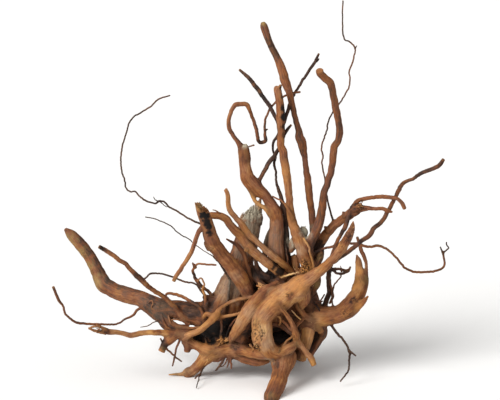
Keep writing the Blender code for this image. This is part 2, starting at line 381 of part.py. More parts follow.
def add_tube(name, roundness, route, collection):
    """Sweep a round section along a route and return the closed tube as a mesh object."""
    curve = bpy.data.curves.new(name + "_line", "CURVE")
    curve.dimensions = "3D"
    curve.bevel_mode = "ROUND"
    curve.bevel_depth = METRES_PER_SHEET_MM
    curve.bevel_resolution = roundness
    curve.use_fill_caps = True
    spline = curve.splines.new("POLY")
    spline.points.add(len(route) - 1)
    for place, (across, down, toward, radius) in zip(spline.points, route):
        point, reach = sheet_to_space(across, down, toward)
        place.co = (point.x, point.y, point.z, 1.0)
        place.radius = radius * reach
    line = bpy.data.objects.new(name + "_line", curve)
    collection.objects.link(line)
    bpy.context.view_layer.update()
    evaluated = line.evaluated_get(bpy.context.evaluated_depsgraph_get())
    mesh = bpy.data.meshes.new_from_object(evaluated)
    tube = bpy.data.objects.new(name, mesh)
    tube.matrix_world = line.matrix_world
    collection.objects.link(tube)
    bpy.data.objects.remove(line)
    bpy.data.curves.remove(curve)
    weld_caps(mesh)
    return tube


def weld_caps(mesh):
    """Join the end caps of a tube to its wall so the tube is closed."""
    shape = bmesh.new()
    shape.from_mesh(mesh)
    bmesh.ops.remove_doubles(shape, verts=shape.verts, dist=METRES_PER_SHEET_MM * 0.001)
    bmesh.ops.recalc_face_normals(shape, faces=shape.faces)
    shape.to_mesh(mesh)
    shape.free()


def join_limbs(heart, limbs):
    """Unite the heart with every limb in the collection, then remove the separate limbs."""
    union = heart.modifiers.new("grown_together", "BOOLEAN")
    union.operation = "UNION"
    union.operand_type = "COLLECTION"
    union.collection = limbs
    union.solver = "MANIFOLD"
    bpy.context.view_layer.update()
    evaluated = heart.evaluated_get(bpy.context.evaluated_depsgraph_get())
    joined = bpy.data.meshes.new_from_object(evaluated)
    heart.modifiers.clear()
    heart.data = joined
    for limb in list(limbs.objects):
        bpy.data.objects.remove(limb)
    bpy.data.collections.remove(limbs)


def keep_grown_piece(shape):
    """Keep only the largest connected skin: sealed hollows are filled and loose scraps dropped."""
    waiting = set(shape.faces)
    islands = []
    while waiting:
        seed = waiting.pop()
        island = [seed]
        front = [seed]
        while front:
            face = front.pop()
            for edge in face.edges:
                for other in edge.link_faces:
                    if other in waiting:
                        waiting.remove(other)
                        island.append(other)
                        front.append(other)
        islands.append(island)
    islands.sort(key=len)
    for island in islands[:-1]:
        bmesh.ops.delete(shape, geom=island, context="FACES")


def cut_feet_flat(shape):
    """Cut everything below the floor away and close the cuts with flat faces."""
    everything = shape.verts[:] + shape.edges[:] + shape.faces[:]
    bmesh.ops.bisect_plane(shape, geom=everything, plane_co=(0, 0, 0), plane_no=(0, 0, 1),
                           clear_inner=True)
    rims = [edge for edge in shape.edges if edge.is_boundary]
    bmesh.ops.holes_fill(shape, edges=rims)


def merge_flat_neighbours(shape):
    """Merge faces that lie in one plane, split all into triangles and close up needle faces."""
    bmesh.ops.dissolve_limit(shape, angle_limit=FLAT_ANGLE, verts=shape.verts, edges=shape.edges,
                             use_dissolve_boundaries=False)
    bmesh.ops.triangulate(shape, faces=shape.faces)
    bmesh.ops.dissolve_degenerate(shape, dist=SHORTEST_EDGE, edges=shape.edges)
    bmesh.ops.triangulate(shape, faces=shape.faces)
    bmesh.ops.recalc_face_normals(shape, faces=shape.faces)


def stand_on_origin(shape):
    """Move the piece so the middle of its outer box stands over the origin."""
    middle_x = (min(v.co.x for v in shape.verts) + max(v.co.x for v in shape.verts)) / 2
    middle_y = (min(v.co.y for v in shape.verts) + max(v.co.y for v in shape.verts)) / 2
    bmesh.ops.translate(shape, verts=shape.verts, vec=(-middle_x, -middle_y, 0))


def wood_material():
    """Return the plain red-brown wood of the root."""
    wood = bpy.data.materials.new("spiderwood")
    wood.use_nodes = True
    surface = wood.node_tree.nodes["Principled BSDF"]
    surface.inputs["Base Color"].default_value = WOOD_COLOUR
    surface.inputs["Roughness"].default_value = WOOD_ROUGHNESS
    surface.inputs["Metallic"].default_value = WOOD_METALLIC
    wood.diffuse_color = WOOD_COLOUR
    wood.roughness = WOOD_ROUGHNESS
    wood.metallic = WOOD_METALLIC
    return wood


def build_root():
    """Build the whole root as one solid."""
    for old in list(bpy.data.objects):
        bpy.data.objects.remove(old)
    parts = bpy.data.collections.new("spiderwood_root_parts")
    limbs = bpy.data.collections.new("separate_limbs")
    bpy.context.scene.collection.children.link(parts)
    bpy.context.scene.collection.children.link(limbs)
    name, roundness, route = HEART
    root = add_tube(name, roundness, route, parts)
    for name, roundness, route in CROWN_ROUTES + LEFT_ROUTES + TOP_ROUTES + RIGHT_ROUTES + BACK_ROUTES:
        add_tube(name, roundness, route, limbs)
    join_limbs(root, limbs)
    shape = bmesh.new()
    shape.from_mesh(root.data)
    keep_grown_piece(shape)
    cut_feet_flat(shape)
    merge_flat_neighbours(shape)
    stand_on_origin(shape)
    shape.to_mesh(root.data)
    shape.free()
    root.name = "spiderwood_root"
    root.data.name = "spiderwood_root"
    root.data.materials.clear()
    root.data.materials.append(wood_material())


build_root()
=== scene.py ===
"""Spiderwood root: the finished look of one grown piece of aquarium wood.

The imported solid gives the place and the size. Here every limb is worked out again as a fine wall
around its middle line, with flutes, knots, broken ends and blended roots, and the finest rootlets
and splinters are added. All shapes are in millimetres until they go into a mesh.
"""

import functools
import itertools
import math

import bpy
import numpy as np
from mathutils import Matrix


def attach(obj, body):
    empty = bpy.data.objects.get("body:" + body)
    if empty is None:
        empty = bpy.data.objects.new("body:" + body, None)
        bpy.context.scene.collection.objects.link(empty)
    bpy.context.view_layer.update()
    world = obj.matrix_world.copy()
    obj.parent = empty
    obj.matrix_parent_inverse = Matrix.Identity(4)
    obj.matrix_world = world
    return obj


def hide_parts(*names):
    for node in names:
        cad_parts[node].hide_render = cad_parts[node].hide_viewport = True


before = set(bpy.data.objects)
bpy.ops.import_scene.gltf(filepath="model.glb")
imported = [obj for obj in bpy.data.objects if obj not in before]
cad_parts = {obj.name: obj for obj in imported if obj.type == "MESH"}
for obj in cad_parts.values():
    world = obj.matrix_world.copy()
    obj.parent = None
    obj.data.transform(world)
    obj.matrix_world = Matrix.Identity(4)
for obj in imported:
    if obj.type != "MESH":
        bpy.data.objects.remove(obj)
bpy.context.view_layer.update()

bl_info = {
    "name": "Spiderwood Root",
    "version": (1, 0, 0),
    "blender": (4, 5, 0),
    "location": "3D View > Sidebar > Spiderwood",
    "description": "Grown aquarium wood with blended limbs, fine rootlets and a plain studio",
    "category": "Add Mesh",
}

SOLID_NODE = "spiderwood_root"
MM = 0.001

# The sheet that the routes are drawn on, as in the solid's source.
EYE_DISTANCE = 2000.0
EYE_TILT = math.radians(12.0)
LEVEL = math.cos(EYE_TILT)
DROP = math.sin(EYE_TILT)
TOWARD_EYE = np.array((0.0, -LEVEL, DROP))
SHEET_MIDDLE_ACROSS = 250.0
SHEET_MIDDLE_DOWN = 200.0
SHEET_MIDDLE_HEIGHT = 185.0
SHIFT_X = -4.9197
SHIFT_Y = -18.2625

# What each kind of limb is like: its tone, how deep its long flutes are as a share of its
# thickness, and how far its middle line wanders, in millimetres.
KINDS = {"twig": (0.3, 0.05, 0.32), "stick": (0.44, 0.07, 0.3), "root": (0.54, 0.058, 0.35),
         "limb": (0.6, 0.045, 0.3)}

# The mesh of a wall.
CELL_SMALLEST = 0.42  # mm between wall points on the finest twig
CELL_GROWTH = 0.135  # how much wider they get per mm of radius
CELL_LARGEST = 0.92  # mm
ROW_STRETCH = 1.15  # rows stand this much wider apart than columns
COLUMNS = (9, 110)  # fewest and most wall points round a limb
STRETCH_STEPS = 14  # places worked out between two points of a route
THINNEST = 0.3  # mm that a limb's half thickness never goes below

# The relief of a wall.
SWELLING = 0.09  # share of the radius that a limb swells and shrinks by along its way
KNOT_SPACING = 34.0  # mm of limb for one knot
FINE_GROOVE = 0.11  # mm deep grooves that follow the grain
KINK = 0.42  # mm that thin twigs jump to the side at their small kinks
WALL_SPARE = 0.25  # mm of wood that makes up for the grooves

# How limbs meet.
TOUCH_BLEND = 0.5  # mm of blend where limbs only touch
NEAR = 9.0  # mm within which another limb is looked at
SINK_SHARE = 0.35  # how fast a wall dives under another one, per mm that it lies inside it
SINK_MOST = 1.2  # mm that it dives in one turn
SETTLE_TURNS = 7  # turns that carry a wall point to the shared skin
LOOK_AGAIN = 4  # the turn that looks for the nearest rows again
ROWS_AT_ONCE = 24  # rows of a limb that are settled together, to save memory
CLOSE_PAIRS = 400000  # pairs of rows past which only every third row is compared

# The gradient noise.
NOISE_SLOPES = 256  # random slopes that the corners of its grid share
NOISE_GAIN = 1.6  # brings it to about -1 to 1

# Seeds of the random draws.
FINE_SEED = 500
SPLINTER_SEED = 700
KNOT_SEED = 900

FLOOR_SHARES = (0.96, 0.8, 0.55, 0.25)  # rings of the flat sole of a foot, as shares of its edge
WARM_TINT = (1.04, 1.0, 0.8, 1)  # linear factors on the colour of the wood's yellow places
COOL_TINT = (0.93, 0.94, 1.12, 1)  # and of its violet-grey places

# The limbs of the solid, by piece. Each is "name kind settings: points;" and a point is across,
# down, toward the eye and half thickness on the sheet. The settings are the tone, from 0 for dark
# bark to 1 for bright tan, how far the limb is pressed flat along the sight line, how the first and
# the last end are finished, where a number is the height of broken splinters, and how far a broken
# end slants per millimetre to the right.
# The low tone of hollow_wall is painted shade: it keeps the back of the hollow under the crown
# dark.
GROWN_ROUTES = {
"crown_limbs": """
heart root tone 0.45: 216 324 -8 12, 230 326 -15 14, 248 322 -18 16, 266 317 -18 17,
  284 313 -16 16, 300 315 -10 13, 312 317 -4 9;
heart_low root tone 0.4: 222 342 -6 9, 238 347 -8 9.5, 254 350 -8 9.5, 270 351 -4 9, 282 355 6 9,
  283.5 361 22 9;
heart_side root tone 0.3: 222 322 -10 11, 220 336 -9 9, 226 345 -6 8.5;
hollow_wall root tone 0.12: 202 330 -20 8, 220 331 -26 11, 240 337 -27 11, 262 338 -26 11,
  281 340 -22 11.5, 295 340 -18 9;
heart_up root tone 0.4: 268 292 -16 12, 280 288 -15 12, 294 288 -12 12, 305 294 -8 11,
  310 306 -5 10;
front_strap limb tone 0.68 flat 0.22 first 2: 353 221.8 72 0.8, 352.3 227 70 2.4,
  349.5 234.5 65 4, 346 241 60 4.6, 342 248 54 5, 337.2 254.2 49 4.3, 331.2 260.5 44 3.9,
  325.4 266 40 4.5, 319.4 271.3 36 5, 311.5 276.8 32 6, 303.5 282.5 29 7.2, 295.5 288.5 26 8.2,
  287 295 25 9.2, 278.5 301.5 26 9.6, 269.5 309 29 9.6, 263 318 33 9.5, 262 328 36 9.5,
  262.8 338 37 10, 267 347 37 8.6, 274 353 36 6.8, 282 353 34 5.6, 288.6 349 31 5, 293 346 25 4;
strap_prop root tone 0.6: 282 296 18 9, 276 304 6 10, 270 312 -6 11;
web_lobe root tone 0.72 flat 0.35: 298 283 22 6, 301 291 20 8.5, 303 299 18 7, 302.3 305 17 4,
  301.7 308.8 17 1.3;
left_strap limb tone 0.66 flat 0.3: 277.5 283 8 3, 273 289 14 6.5, 265 295 19 8, 257 303 24 8.2,
  249.5 311.5 27 7.8, 243.2 320.5 28 6.6, 238.4 328 25 5.4, 234.8 333.4 20 4.2,
  232.4 337.4 14 3.6, 231.6 341 10 3;
bottom_band root tone 0.56: 240 349 10 4.5, 252 353 19 4.8, 264 355.3 27 4.6, 275 355 31 4.6;
bottom_root root: 236 353 4 5, 245 358.8 8 4.6, 255 361.3 11 4.7, 262 361.5 13 3.3, 269 361 15 1.6;
front_leg limb tone 0.56 last floor: 288.4 346 17 6.2, 285.4 353.6 24 8.8, 283 361 31 9.7,
  282 367.5 38 8.9, 280.5 374 45 8.1, 278.5 381 52 8, 276 388 59 8.3, 273 395 66 8,
  271.5 402 73 7.2;
right_diagonal stick tone 0.68 last cut: 278 305 34 1.6, 283 310.5 33 1.8, 289 318 31 2,
  293.5 327 29 2.4, 296 335 27 3.4, 298 342 24 3, 302.5 347.5 22 2.5, 307 353.5 22 2.6,
  311 358.5 22 3, 314 365 22 2.4;
cross_strand twig tone 0.6: 307 316 10 1.6, 300 322 19 1.3, 294.5 328.5 27 1.6;
hollow_band stick: 268 324 27 1.8, 277 324.5 22 2, 284 327.5 20 2.2, 290 332.5 22 1.9,
  296 337 26 2;
web_root stick tone 0.62: 295 297 15 3, 298 306 15 3, 302 312.5 13 2.8, 307 317 11 2.6,
  313 321.5 8 2.3, 318 327 5 2.6, 321 331 3 3;
right_short_root limb tone 0.68 last cut: 307 317 0 6, 308.5 326 5 5.9, 307 337 6 6,
  305 345 6 5.6, 302 351.5 5 6.2, 300 358 4 6.2;
striped_root root tone 0.3 last 0.8: 318 320 2 4, 322.5 327 1 4.1, 323.7 333 0 3.6,
  320.5 339.3 -1 3, 316.5 344.8 -1 2.8, 313 350.5 -1 2.6, 311.3 355.5 -1 1.8;
shadow_flap stick tone 0.36 flat 0.5: 318 277 14 2.6, 317.4 284 10 2.8, 314.4 290 6 2.4,
  312 297 3 2.4, 312 305 0 4, 311 312 -2 4;
stub_root root tone 0.6 first 1.5: 294 255.5 -6 3, 295 262 -6 4, 296 271 -7 5, 297 281 -9 6;
light_splinter twig tone 1.15: 281.5 277.6 8 0.8, 290 274.6 8 1, 301 272 8.5 1, 308.5 269 8 0.9""",
"left_limbs": """
long_left_limb limb tone 0.48 flat 0.12: 65.6 229.5 -52 1.8, 70.6 234.2 -50 4.8,
  79.4 243.2 -46 5.7, 88 254.2 -42 5.6, 93.9 264 -38 5.9, 97.8 272 -35 6.4, 103 283.6 -30 7.7,
  112.6 290 -26 7.2, 124.6 294.9 -21 7.6, 140 299 -16 7.4, 150 304 -12 9.3, 160 308.5 -9 10.5,
  170 309 -7 8.5, 180 310 -6 8.8, 190 313 -5 10.5, 200 314.5 -5 12, 210 318 -6 14, 222 322 -8 13;
limb_lower_fork root tone 0.42: 150 307.4 -6 3.4, 163.4 319 0 5.4, 169 324.6 2 4.6,
  177 327.4 4 3.8, 186 328.6 6 3.2, 193 333 8 2.4;
left_rod stick tone 0.62 first cut: 99.2 246.7 44 1.8, 109.6 252.8 40 2, 119.6 260.2 37 2,
  125.6 264.2 34 1.9, 131 270 30 2, 141 279.5 24 2.5, 150 288 18 2.1, 160 294.5 13 2.1,
  170 302.5 8 2.4, 179 312.5 4 2.4, 185 319.5 1 2.6, 190 323 -2 1.8;
long_left_twig twig tone 0.42 first cut: 53.2 286.8 42 1.3, 59.1 300.8 38 1.35, 62.7 305.5 36 1.1,
  66 314.5 32 1.1, 71 319.5 29 1.1, 77 323 25 1.2, 100 324 14 1.1, 117 324 6 1, 125 319.5 1 1,
  134 314.5 -4 1.2, 137 310 -7 1.3, 149 306 -11 1.3;
lower_left_arm stick tone 0.8: 103 330.6 29.5 1.8, 107 331.6 27.5 2.6, 120 332.7 22 2.1,
  131 334.7 18 2.5, 148 332.8 13 2.5, 165 333 9 3, 178 333.5 7 3, 190 335.5 6 3.2;
dark_link twig tone 0.14: 143 279.6 -18 0.9, 146.6 277.2 -18 0.9, 149 274.4 -17 0.9,
  151 273.6 -17 1, 157 273.4 -16 0.9, 163 274.2 -15 0.9, 185 281.5 -10 0.9, 196 284.5 -8 0.9,
  200.5 290 -7 1.2, 206 298.5 -5 1.2, 207.5 309 -4 1.3;
small_arch_twig stick tone 0.46: 165.5 300.5 -5 1, 166.5 294.3 -4 1.2, 176 294.3 -2 1.4,
  184 297.5 0 1.5, 192 302 3 1.5, 199 306.5 6 1.5, 203.5 314.5 8 1.6, 203.5 321 6 1.7;
top_left_twig twig tone 0.08: 170 95.5 -52 0.7, 158 99.5 -52 0.8, 152.5 105 -51 0.8,
  141 112.5 -50 0.8, 133 117.3 -48 0.8, 129 123.5 -46 0.8, 126.5 132 -44 0.8, 121.5 151 -40 0.8,
  121.5 170 -34 0.8, 124.7 180 -30 0.8, 126 188 -27 0.8, 131 191.5 -24 0.8, 134.5 191.3 -22 0.8,
  145 200.7 -15 0.9, 156.5 203 -9 0.9, 159 201.2 -8 1, 164 201.5 -5 0.9, 169 206.5 0 0.9,
  180 213 9 0.9, 187 217.5 16 0.9, 205 226 31 1.1;
mid_left_twig twig tone 0.12: 145.5 217 -24 0.55, 155 218.8 -18 0.55, 164 222.4 -12 0.6,
  171 226 -8 0.6, 180 234.4 -2 0.6, 187.5 238 2 0.55, 194 243.6 5 0.5, 203 250.4 7 0.45,
  211 255 8 0.5, 216 259.6 8 0.7, 221 265 8 1.1, 226 273 6 1.2, 230 281 2.5 1.4, 229 287 2.5 1.4,
  227.5 301 5.5 1.4, 223 312 6 1.4;
hanging_twig stick tone 0.6 last cut: 205 226 32 1.8, 200 229.5 34 2, 192.3 250 38 2,
  186.8 260 40 1.9, 175.5 277 43 1.9, 173.5 281 43 1.7;
broken_stump root tone 0.58 flat 0.15 first 2.8 slant -0.75: 201.4 208.4 42 5.3, 202.5 212 40 5.8,
  205.6 220 36 6.1, 208.8 230 32 6.4, 211.9 240 28 7, 215.2 246 25 7.2, 219.8 252 22 6.9,
  225 258 19 6.9, 231.5 266 15 7.2, 239 276 12 7.6, 245 287 9 6.6, 250 297 6 6.4, 254 307 1 8;
arch_root root tone 0.62 flat 0.15 first 1.6: 209.6 215.4 17 3, 221 216.3 16 3.5,
  226 219.4 15 3.7, 230.5 225.4 15 3.8, 240 235 14 4.3, 249 247 13 4.6, 264 260.5 11 4.3,
  276 270 8 4, 284 277 2 4.2, 288 285 -5 5;
top_stem_left stick tone 0.7 first 0.8: 225.5 189.3 16 1.7, 227.5 194 16 2, 228.5 205 15 2.2,
  230 210 15 2.4, 236.5 218.5 14 2.4, 243 226 13 3.2, 249 235 13 3.3, 257 242 13 2.8,
  268 252 12 3, 279 260.5 9 3.2, 285 265.5 5 3.2, 291 272 -2 3.5;
back_trunk limb tone 0.46 flat 0.2 first 5 slant 0.7: 252 209.5 -20 8.6, 251.5 214 -20 9.8,
  249 228 -19 10.6, 245 245 -18 11.5, 240 262 -16 12, 236 278 -14 13, 231 292 -12 14.5,
  226 306 -9 15, 224 320 -8 14;
spike_left stick tone 0.4: 226.5 239 6 0.8, 238 246 6 1.9, 244 255 5 2.4, 247 266 4 2.4,
  250 275 3 2.2, 254 299 -3 2.6;
arch_rootlet twig: 255 255 10 1.6, 256 263 6 1.7, 257.4 270 3 2, 262 275.6 2 2.2, 270 277 2 2.6;
behind_stick twig: 273.5 226 -3 2.2, 268.5 236 -8 2.4, 265.4 246 -10 2.3, 265 256 -10 2.2,
  270 264 -9 2.5, 276 272 -9 3;
hook_twig twig tone 0.5: 216 265 6 0.9, 205 264.3 4 1, 198 264 2 1, 195 266.5 1 1.1,
  192.7 271 0 1.3, 194 275.5 -1 1.3, 198 282 -2 1.8, 203.5 287.5 -2 1.4, 210 293.5 -3 1.5,
  212.5 303 -3 1.4, 213 312 -4 1.6;
bundle_twig twig tone 0.62: 197.6 281.4 2 0.8, 199.4 278.8 3 0.8, 201 278.2 3 0.8,
  203.4 281.2 3 0.9, 204.6 284.4 3 0.9, 202.4 288.8 3 1.2, 204.2 293 3 1.2, 205.6 299 3 1.3,
  204.8 312 4 1.3;
bright_brace stick tone 0.76: 184 338 7 3.2, 188 335 12 3, 198 331 17 2.8, 208 323.5 21 2.9,
  215 316.5 22 3.4, 222 307 17 1.6, 232 301.5 13 1.6, 243 298.5 12 1.6, 253 297 14 1.8;
brace_hook stick tone 0.72: 213 316 21 2, 207 314 17 2, 203.5 318.5 8 1.7;
brace_arm twig tone 0.7: 216 316 22 2, 224 316.5 20 1.4, 247 311 22 1.4;
brace_prop twig: 217 316 21 1.6, 221.5 322 18 1.2, 221 334 14 1.2, 221.5 344 9 1.3;
left_crown_root root tone 0.6: 185 340 6 4, 197 346 6 4.5, 206 349 6 5, 216 350 6 6;
stub_down stick last cut: 187 339 7 3.2, 187 351.5 7 2.9;
spike_root root tone 0.68 flat 0.2 first point: 169.5 374.7 -4 0.7, 182 373.7 -4 1.8,
  187 372.2 -3 3, 193.6 369.8 -2 4.4, 200.4 363.2 0 5.6, 206.4 357 2 7.2, 212 353 4 8.3,
  220 350 5 8.5, 232 348 6 8, 244 346 6 7.5;
left_foot root last floor: 189 371.5 -3 3.2, 188 380 -3 3.2;
spike_rootlet twig: 203.5 365 1 1, 201 372 6 0.9, 195 378.5 13 0.7;
low_rootlet twig: 225 356 10 1.4, 221 364 12 1.2, 215.5 370.5 14 0.9;
hanging_rootlet twig: 230 355 10 1.2, 231 363 12 1, 231.3 368.5 13 0.8;
lower_left_stub root last cut: 188 334 6 3, 176 336 8 3.4, 168.6 340.6 10 4.4, 163.6 346.4 11 3.2,
  161.4 351.2 12 3.3;
stub_twig twig: 160.5 338.5 13 0.8, 164.5 346 13 1, 171 353 14 1, 181.5 361.5 16 0.8;
left_hanger twig: 181 337 8 1.2, 176.5 348 11 1, 174 360 13 0.9, 172.5 366 14 0.7""",
"tall_stems": """
loop_stem limb tone 0.5 flat 0.12: 243.8 148 -2 3.8, 243.8 153 -2 5, 245.6 168 -1 5.6,
  248.4 179 0 6.9, 258 189.6 0 6.5, 265.5 196 0 4.9, 271.4 204.2 0 5.3, 274.2 211 0 6.6,
  276.5 221 0 6.7, 276.7 232 0 6.7, 275.8 243 0 7.5, 276.3 254 0 8.3, 277 266 -5 8.5,
  277 282 -12 9;
loop_side_strap stick tone 0.72: 251 190 2 2, 254.5 200 3 1.7, 258 203.8 3 1.8, 263 207.3 3 1.8,
  270 213 2 2.4;
loop_pale_stub stick last 2.5: 246 158 0 3.4, 245.4 149 0 2.6, 244.6 144.6 0 1.6;
loop_thin_end stick tone 0.44: 242.5 151 -3 3, 239 144 -4 2.3, 235.4 138.6 -5 1.9, 229.2 128 -7 2,
  228.8 120 -8 1.9, 231.4 111 -9 1.8, 233.6 106.6 -10 2, 235.4 104.6 -11 2.2, 241 104 -12 2,
  246.8 104.8 -13 2.1, 248.6 107.4 -13 2, 250.5 113 -14 1.6, 256 128 -15 1.6, 258 138.5 -15 1.6,
  260 142 -15 1.6, 265 140.8 -15 1.7, 265 134 -16 1.3, 265.5 119 -18 1.1, 274 103.5 -22 1,
  280 98.5 -24 1, 291 93.5 -29.5 1, 300 92 -31 1.1;
stem_a root tone 0.62 first 1.2 slant 0.5: 278.6 86 -8 2.6, 277.4 89 -8 3.4, 278 93 -7 3.5,
  279.6 102 -6 3.8, 280.5 112 -5 3.9, 281 134 -3 3.6, 281 145 -2 3.6, 283 152 -1 3.8,
  286.8 176 1 3.8, 288.5 190 3 3.4, 289.6 203 4 3.4, 291.1 215 5 4, 293.5 226 6 4.6,
  298 237 6 5.8, 302 248 6 6.3, 305.5 258 5 6.5, 308 268 3 6.5, 306 282 -4 8;
stem_b root tone 0.42: 263 23.2 -50 2.2, 263.6 25.6 -50 3.3, 268.6 40 -46 3, 272.6 49 -43 3,
  277 57.4 -40 3.2, 283 73 -32 4.2, 284.8 81 -28 4.4, 288.8 91 -24 3.5, 293.3 110 -19 2.8,
  298.2 129 -16 2.9, 300.2 138 -15 4.3, 302.6 147 -14 4, 304.7 158 -13 2.6, 308.2 184 -11 3.4,
  311.3 210 -10 3.1, 313 224 -9 3.4, 313 254 -6 4, 308 272 -5 5;
stem_c root tone 0.42 first cut: 319.6 70.4 31 3.4, 320.4 73.6 29 3.5, 325 78.2 27 3.5,
  329.4 82 26 3.6, 332 89 24 3.4, 335.4 106 20 3.4, 339 124 16 3.3, 339.6 133 14 3.5,
  337.8 141 12 3.2, 334 148.5 11 3.4, 332.2 166 9 3.1, 327 184 7 3.1, 323.9 192.5 6 3.1,
  322.2 208 5 3.7, 318.8 224 5 4.2, 310 244 5 4.3, 305 256 4 5;
stick_one stick tone 0.16 first cut: 239.5 69.8 -42 1.2, 247.6 77 -36 1.7, 254.6 85 -31 2,
  261.4 94.4 -24 1.9, 268.6 104.6 -16 1.8, 280.6 127.6 -5 1.6;
stick_two stick tone 0.14 first cut: 319 53.5 -50 1, 314.5 62.5 -48 1.4, 302 81.5 -42 1.3,
  292 98 -34 1.3, 287.5 111.5 -16 1.6, 282.5 128 -6 1.3;
stick_three stick tone 0.18 first cut: 291.3 124.7 -9 1.1, 286 131.5 -9 1.5, 281 143 -7 1.4,
  276.4 153 -6 1.7, 268 164.5 -4 2, 257.5 184 -2 1.5;
dark_twist stick tone 0.08: 279 134.5 -4 1.2, 274 141 -6 1.3, 272.8 150 -8 1.1,
  275.5 157.5 -8 1.2, 274 163.5 -8 1.2, 276 172 -8 1.1, 276.2 181 -7 1.1, 278.5 190 -6 1.5,
  284.4 209 -4 2.2, 285.6 222 -4 2.5, 286.6 240 -5 2.9, 287.6 255 -6 3, 289 274 -9 3;
front_thread twig: 284 238 -4 0.9, 285.5 247 1 0.9, 287.5 258 3 0.9, 287 268 3 1;
across_thread twig tone 0.6: 272.5 196.3 2 0.8, 283 202 5 0.9, 288 209 8 1.2, 293 219 9 1.3;
fine_top_twig twig tone 0.24: 343 0.8 -42 0.7, 342.5 14 -40 0.7, 344.5 39 -35 0.8,
  349.5 41.5 -34 0.8, 355 48.5 -32 0.8, 352.5 62 -28 0.8, 349 73 -24 0.8, 350.3 79 -22 0.8,
  348.8 87 -19 0.8, 341 101 -13 0.8, 330 117 -10 0.8, 326.5 131 -8 0.8, 321.3 150 -7 0.8,
  323 155 -6 0.8, 322 162 -6 0.8, 325 180 -5 0.8, 327 197 -4 0.9, 331 214 -4 1, 335 226 -3 1.1""",
"right_limbs": """
arm_one root tone 0.5: 392 212 14 1, 387.5 210.8 13 1.9, 383 209 12 1.7, 370 208.4 10 1.9,
  362 208 8 3.5, 356.4 209.6 7 4.8, 349 215 3 4.5, 340.4 220.6 0 4, 333 226 -3 4.2,
  327 233 -5 4.4, 321.5 241 -6 4.8, 316 250 -6 5, 309 264 -6 6;
arm_two stick tone 0.4: 404.6 208.4 31 1.7, 402.4 203.4 28 1.8, 397.4 198.8 23 1.6,
  389 197.2 17 1.9, 374 197.2 12 1.8, 360.6 199.6 9 1.9, 356 202.4 8 2, 349.5 213.5 8 1.8,
  346 225 12 2.2, 341 234.5 18 1.7, 336 244.5 27 1.8, 331 259 41 1.8;
arm_three stick tone 0.36 first cut: 443.5 159.5 52 1.6, 439 165.5 49 1.9, 421 173.5 38 1.7,
  411 180 30 1.5, 405 182 25 1.7, 400.5 187 19 2, 395 198 12 1.8, 387 213 9 1.9, 381 222.5 11 1.9,
  373 229.5 15 2.1, 369 236 19 2.3, 362 240.5 24 2, 349 251 35 2, 335 260 43 2.4;
thin_right_twig twig tone 0.46: 308 255 4 1.5, 322 249.2 3 1.2, 338 245 6 1.2, 350 243.6 9 1.2,
  358 243.8 12 1.3, 364 245.8 12 1.3, 371 247 10 1.2, 376 245.5 8 1.3, 381 246.5 6 1.2,
  389 251 1 1.1, 396 257.5 -4 1.1, 405 267.8 -11 1.1, 411 270.8 -15 1.1, 418 272 -19 1.1,
  436 270.8 -30 1.1, 442.5 268 -34 1.1, 444.4 264.8 -35 1.1, 443 252.3 -38 1;
thin_fork_short twig tone 0.1: 443.1 253 -38 0.9, 440.3 247 -39 0.7;
thin_fork_long twig tone 0.08: 443 252.6 -38 0.9, 448.6 248 -40 0.7, 446.6 245.2 -41 0.7,
  446.5 242.3 -42 0.7;
right_horn limb tone 0.66 flat 0.25 last point: 303 315 -4 9, 313 316 0 8.4, 322 316.3 3 8.6,
  331 315.7 4 9, 339 313.9 4 8.7, 346.2 308.8 3 8.6, 352.2 301.8 2 8, 356.8 295 0 7.4,
  360.2 288 -3 7.3, 361 281 -6 6.6, 360.2 274.4 -9 5, 359.2 267 -12 3.5, 358.4 261 -15 2.8,
  357 256 -18 1;
horn_barb root tone 0.7 flat 0.35 last point: 351 309 4 5.5, 357 305.6 6 4.6, 362.4 302.2 8 2.8,
  367.4 297 10 1.1;
horn_strand stick tone 0.46: 357.3 237.3 -16 1.3, 358.8 242 -15 1.5, 361 250 -12 1.8,
  364.2 257 -10 1.8, 366.2 264 -9 1.5, 366.3 270 -9 1.6, 365.4 277 -7 2.3, 363 286 -3 2.6;
dark_riser stick tone 0.1: 323.5 309 -2 2.3, 326.5 300.5 -4 2.5, 329 293 -5 2.3, 328.6 278 -3 2.2,
  329.3 270.5 4 2.1, 331 264 20 2, 333 259 40 2;
knotty_twig twig tone 0.2: 329 269.5 5 1.4, 341 269.2 8 1.2, 347.5 271 10 1.3, 350.4 267 12 1;
knotty_loop twig: 332 269.5 5.5 1.1, 337 273 8 1.2, 343 273.6 9 1.2, 348 271 10 1.2;
fine_hanger twig tone 0.36: 340.8 273.5 8.5 0.8, 340.8 277 7 0.7, 334.3 284.7 4 0.8,
  332.5 294 2 1, 331.7 300 2 0.9, 334 309 3 0.9;
curl_rootlet twig: 312.5 299 3 0.9, 316 301.6 6 0.9, 320 301 8 0.8, 324.5 294.5 10 0.7;
right_lower_twig twig tone 0.14: 329 322 4 1.2, 338 334.5 10 1.2, 342.5 338.8 13 1.1,
  349.2 351.5 20 1.1, 349.2 363 26 0.9, 348.3 370 29 0.9, 340.3 381.5 34 0.7;
right_lower_shoot twig tone 0.16: 349 351 20 1, 355.8 355.7 24 0.8;
pale_stub_right root first 3 last point slant -0.2: 304.4 231.4 -3 4, 301 235.6 -3 4.9,
  298.5 239.5 -3 6.2, 294.4 243 -2 5.6, 291.4 249.5 -2 2.6;
short_prop stick: 320.7 250 0 3, 320 256 0 3.4, 316.6 264 0 3.4, 311 274 -4 4.5""",
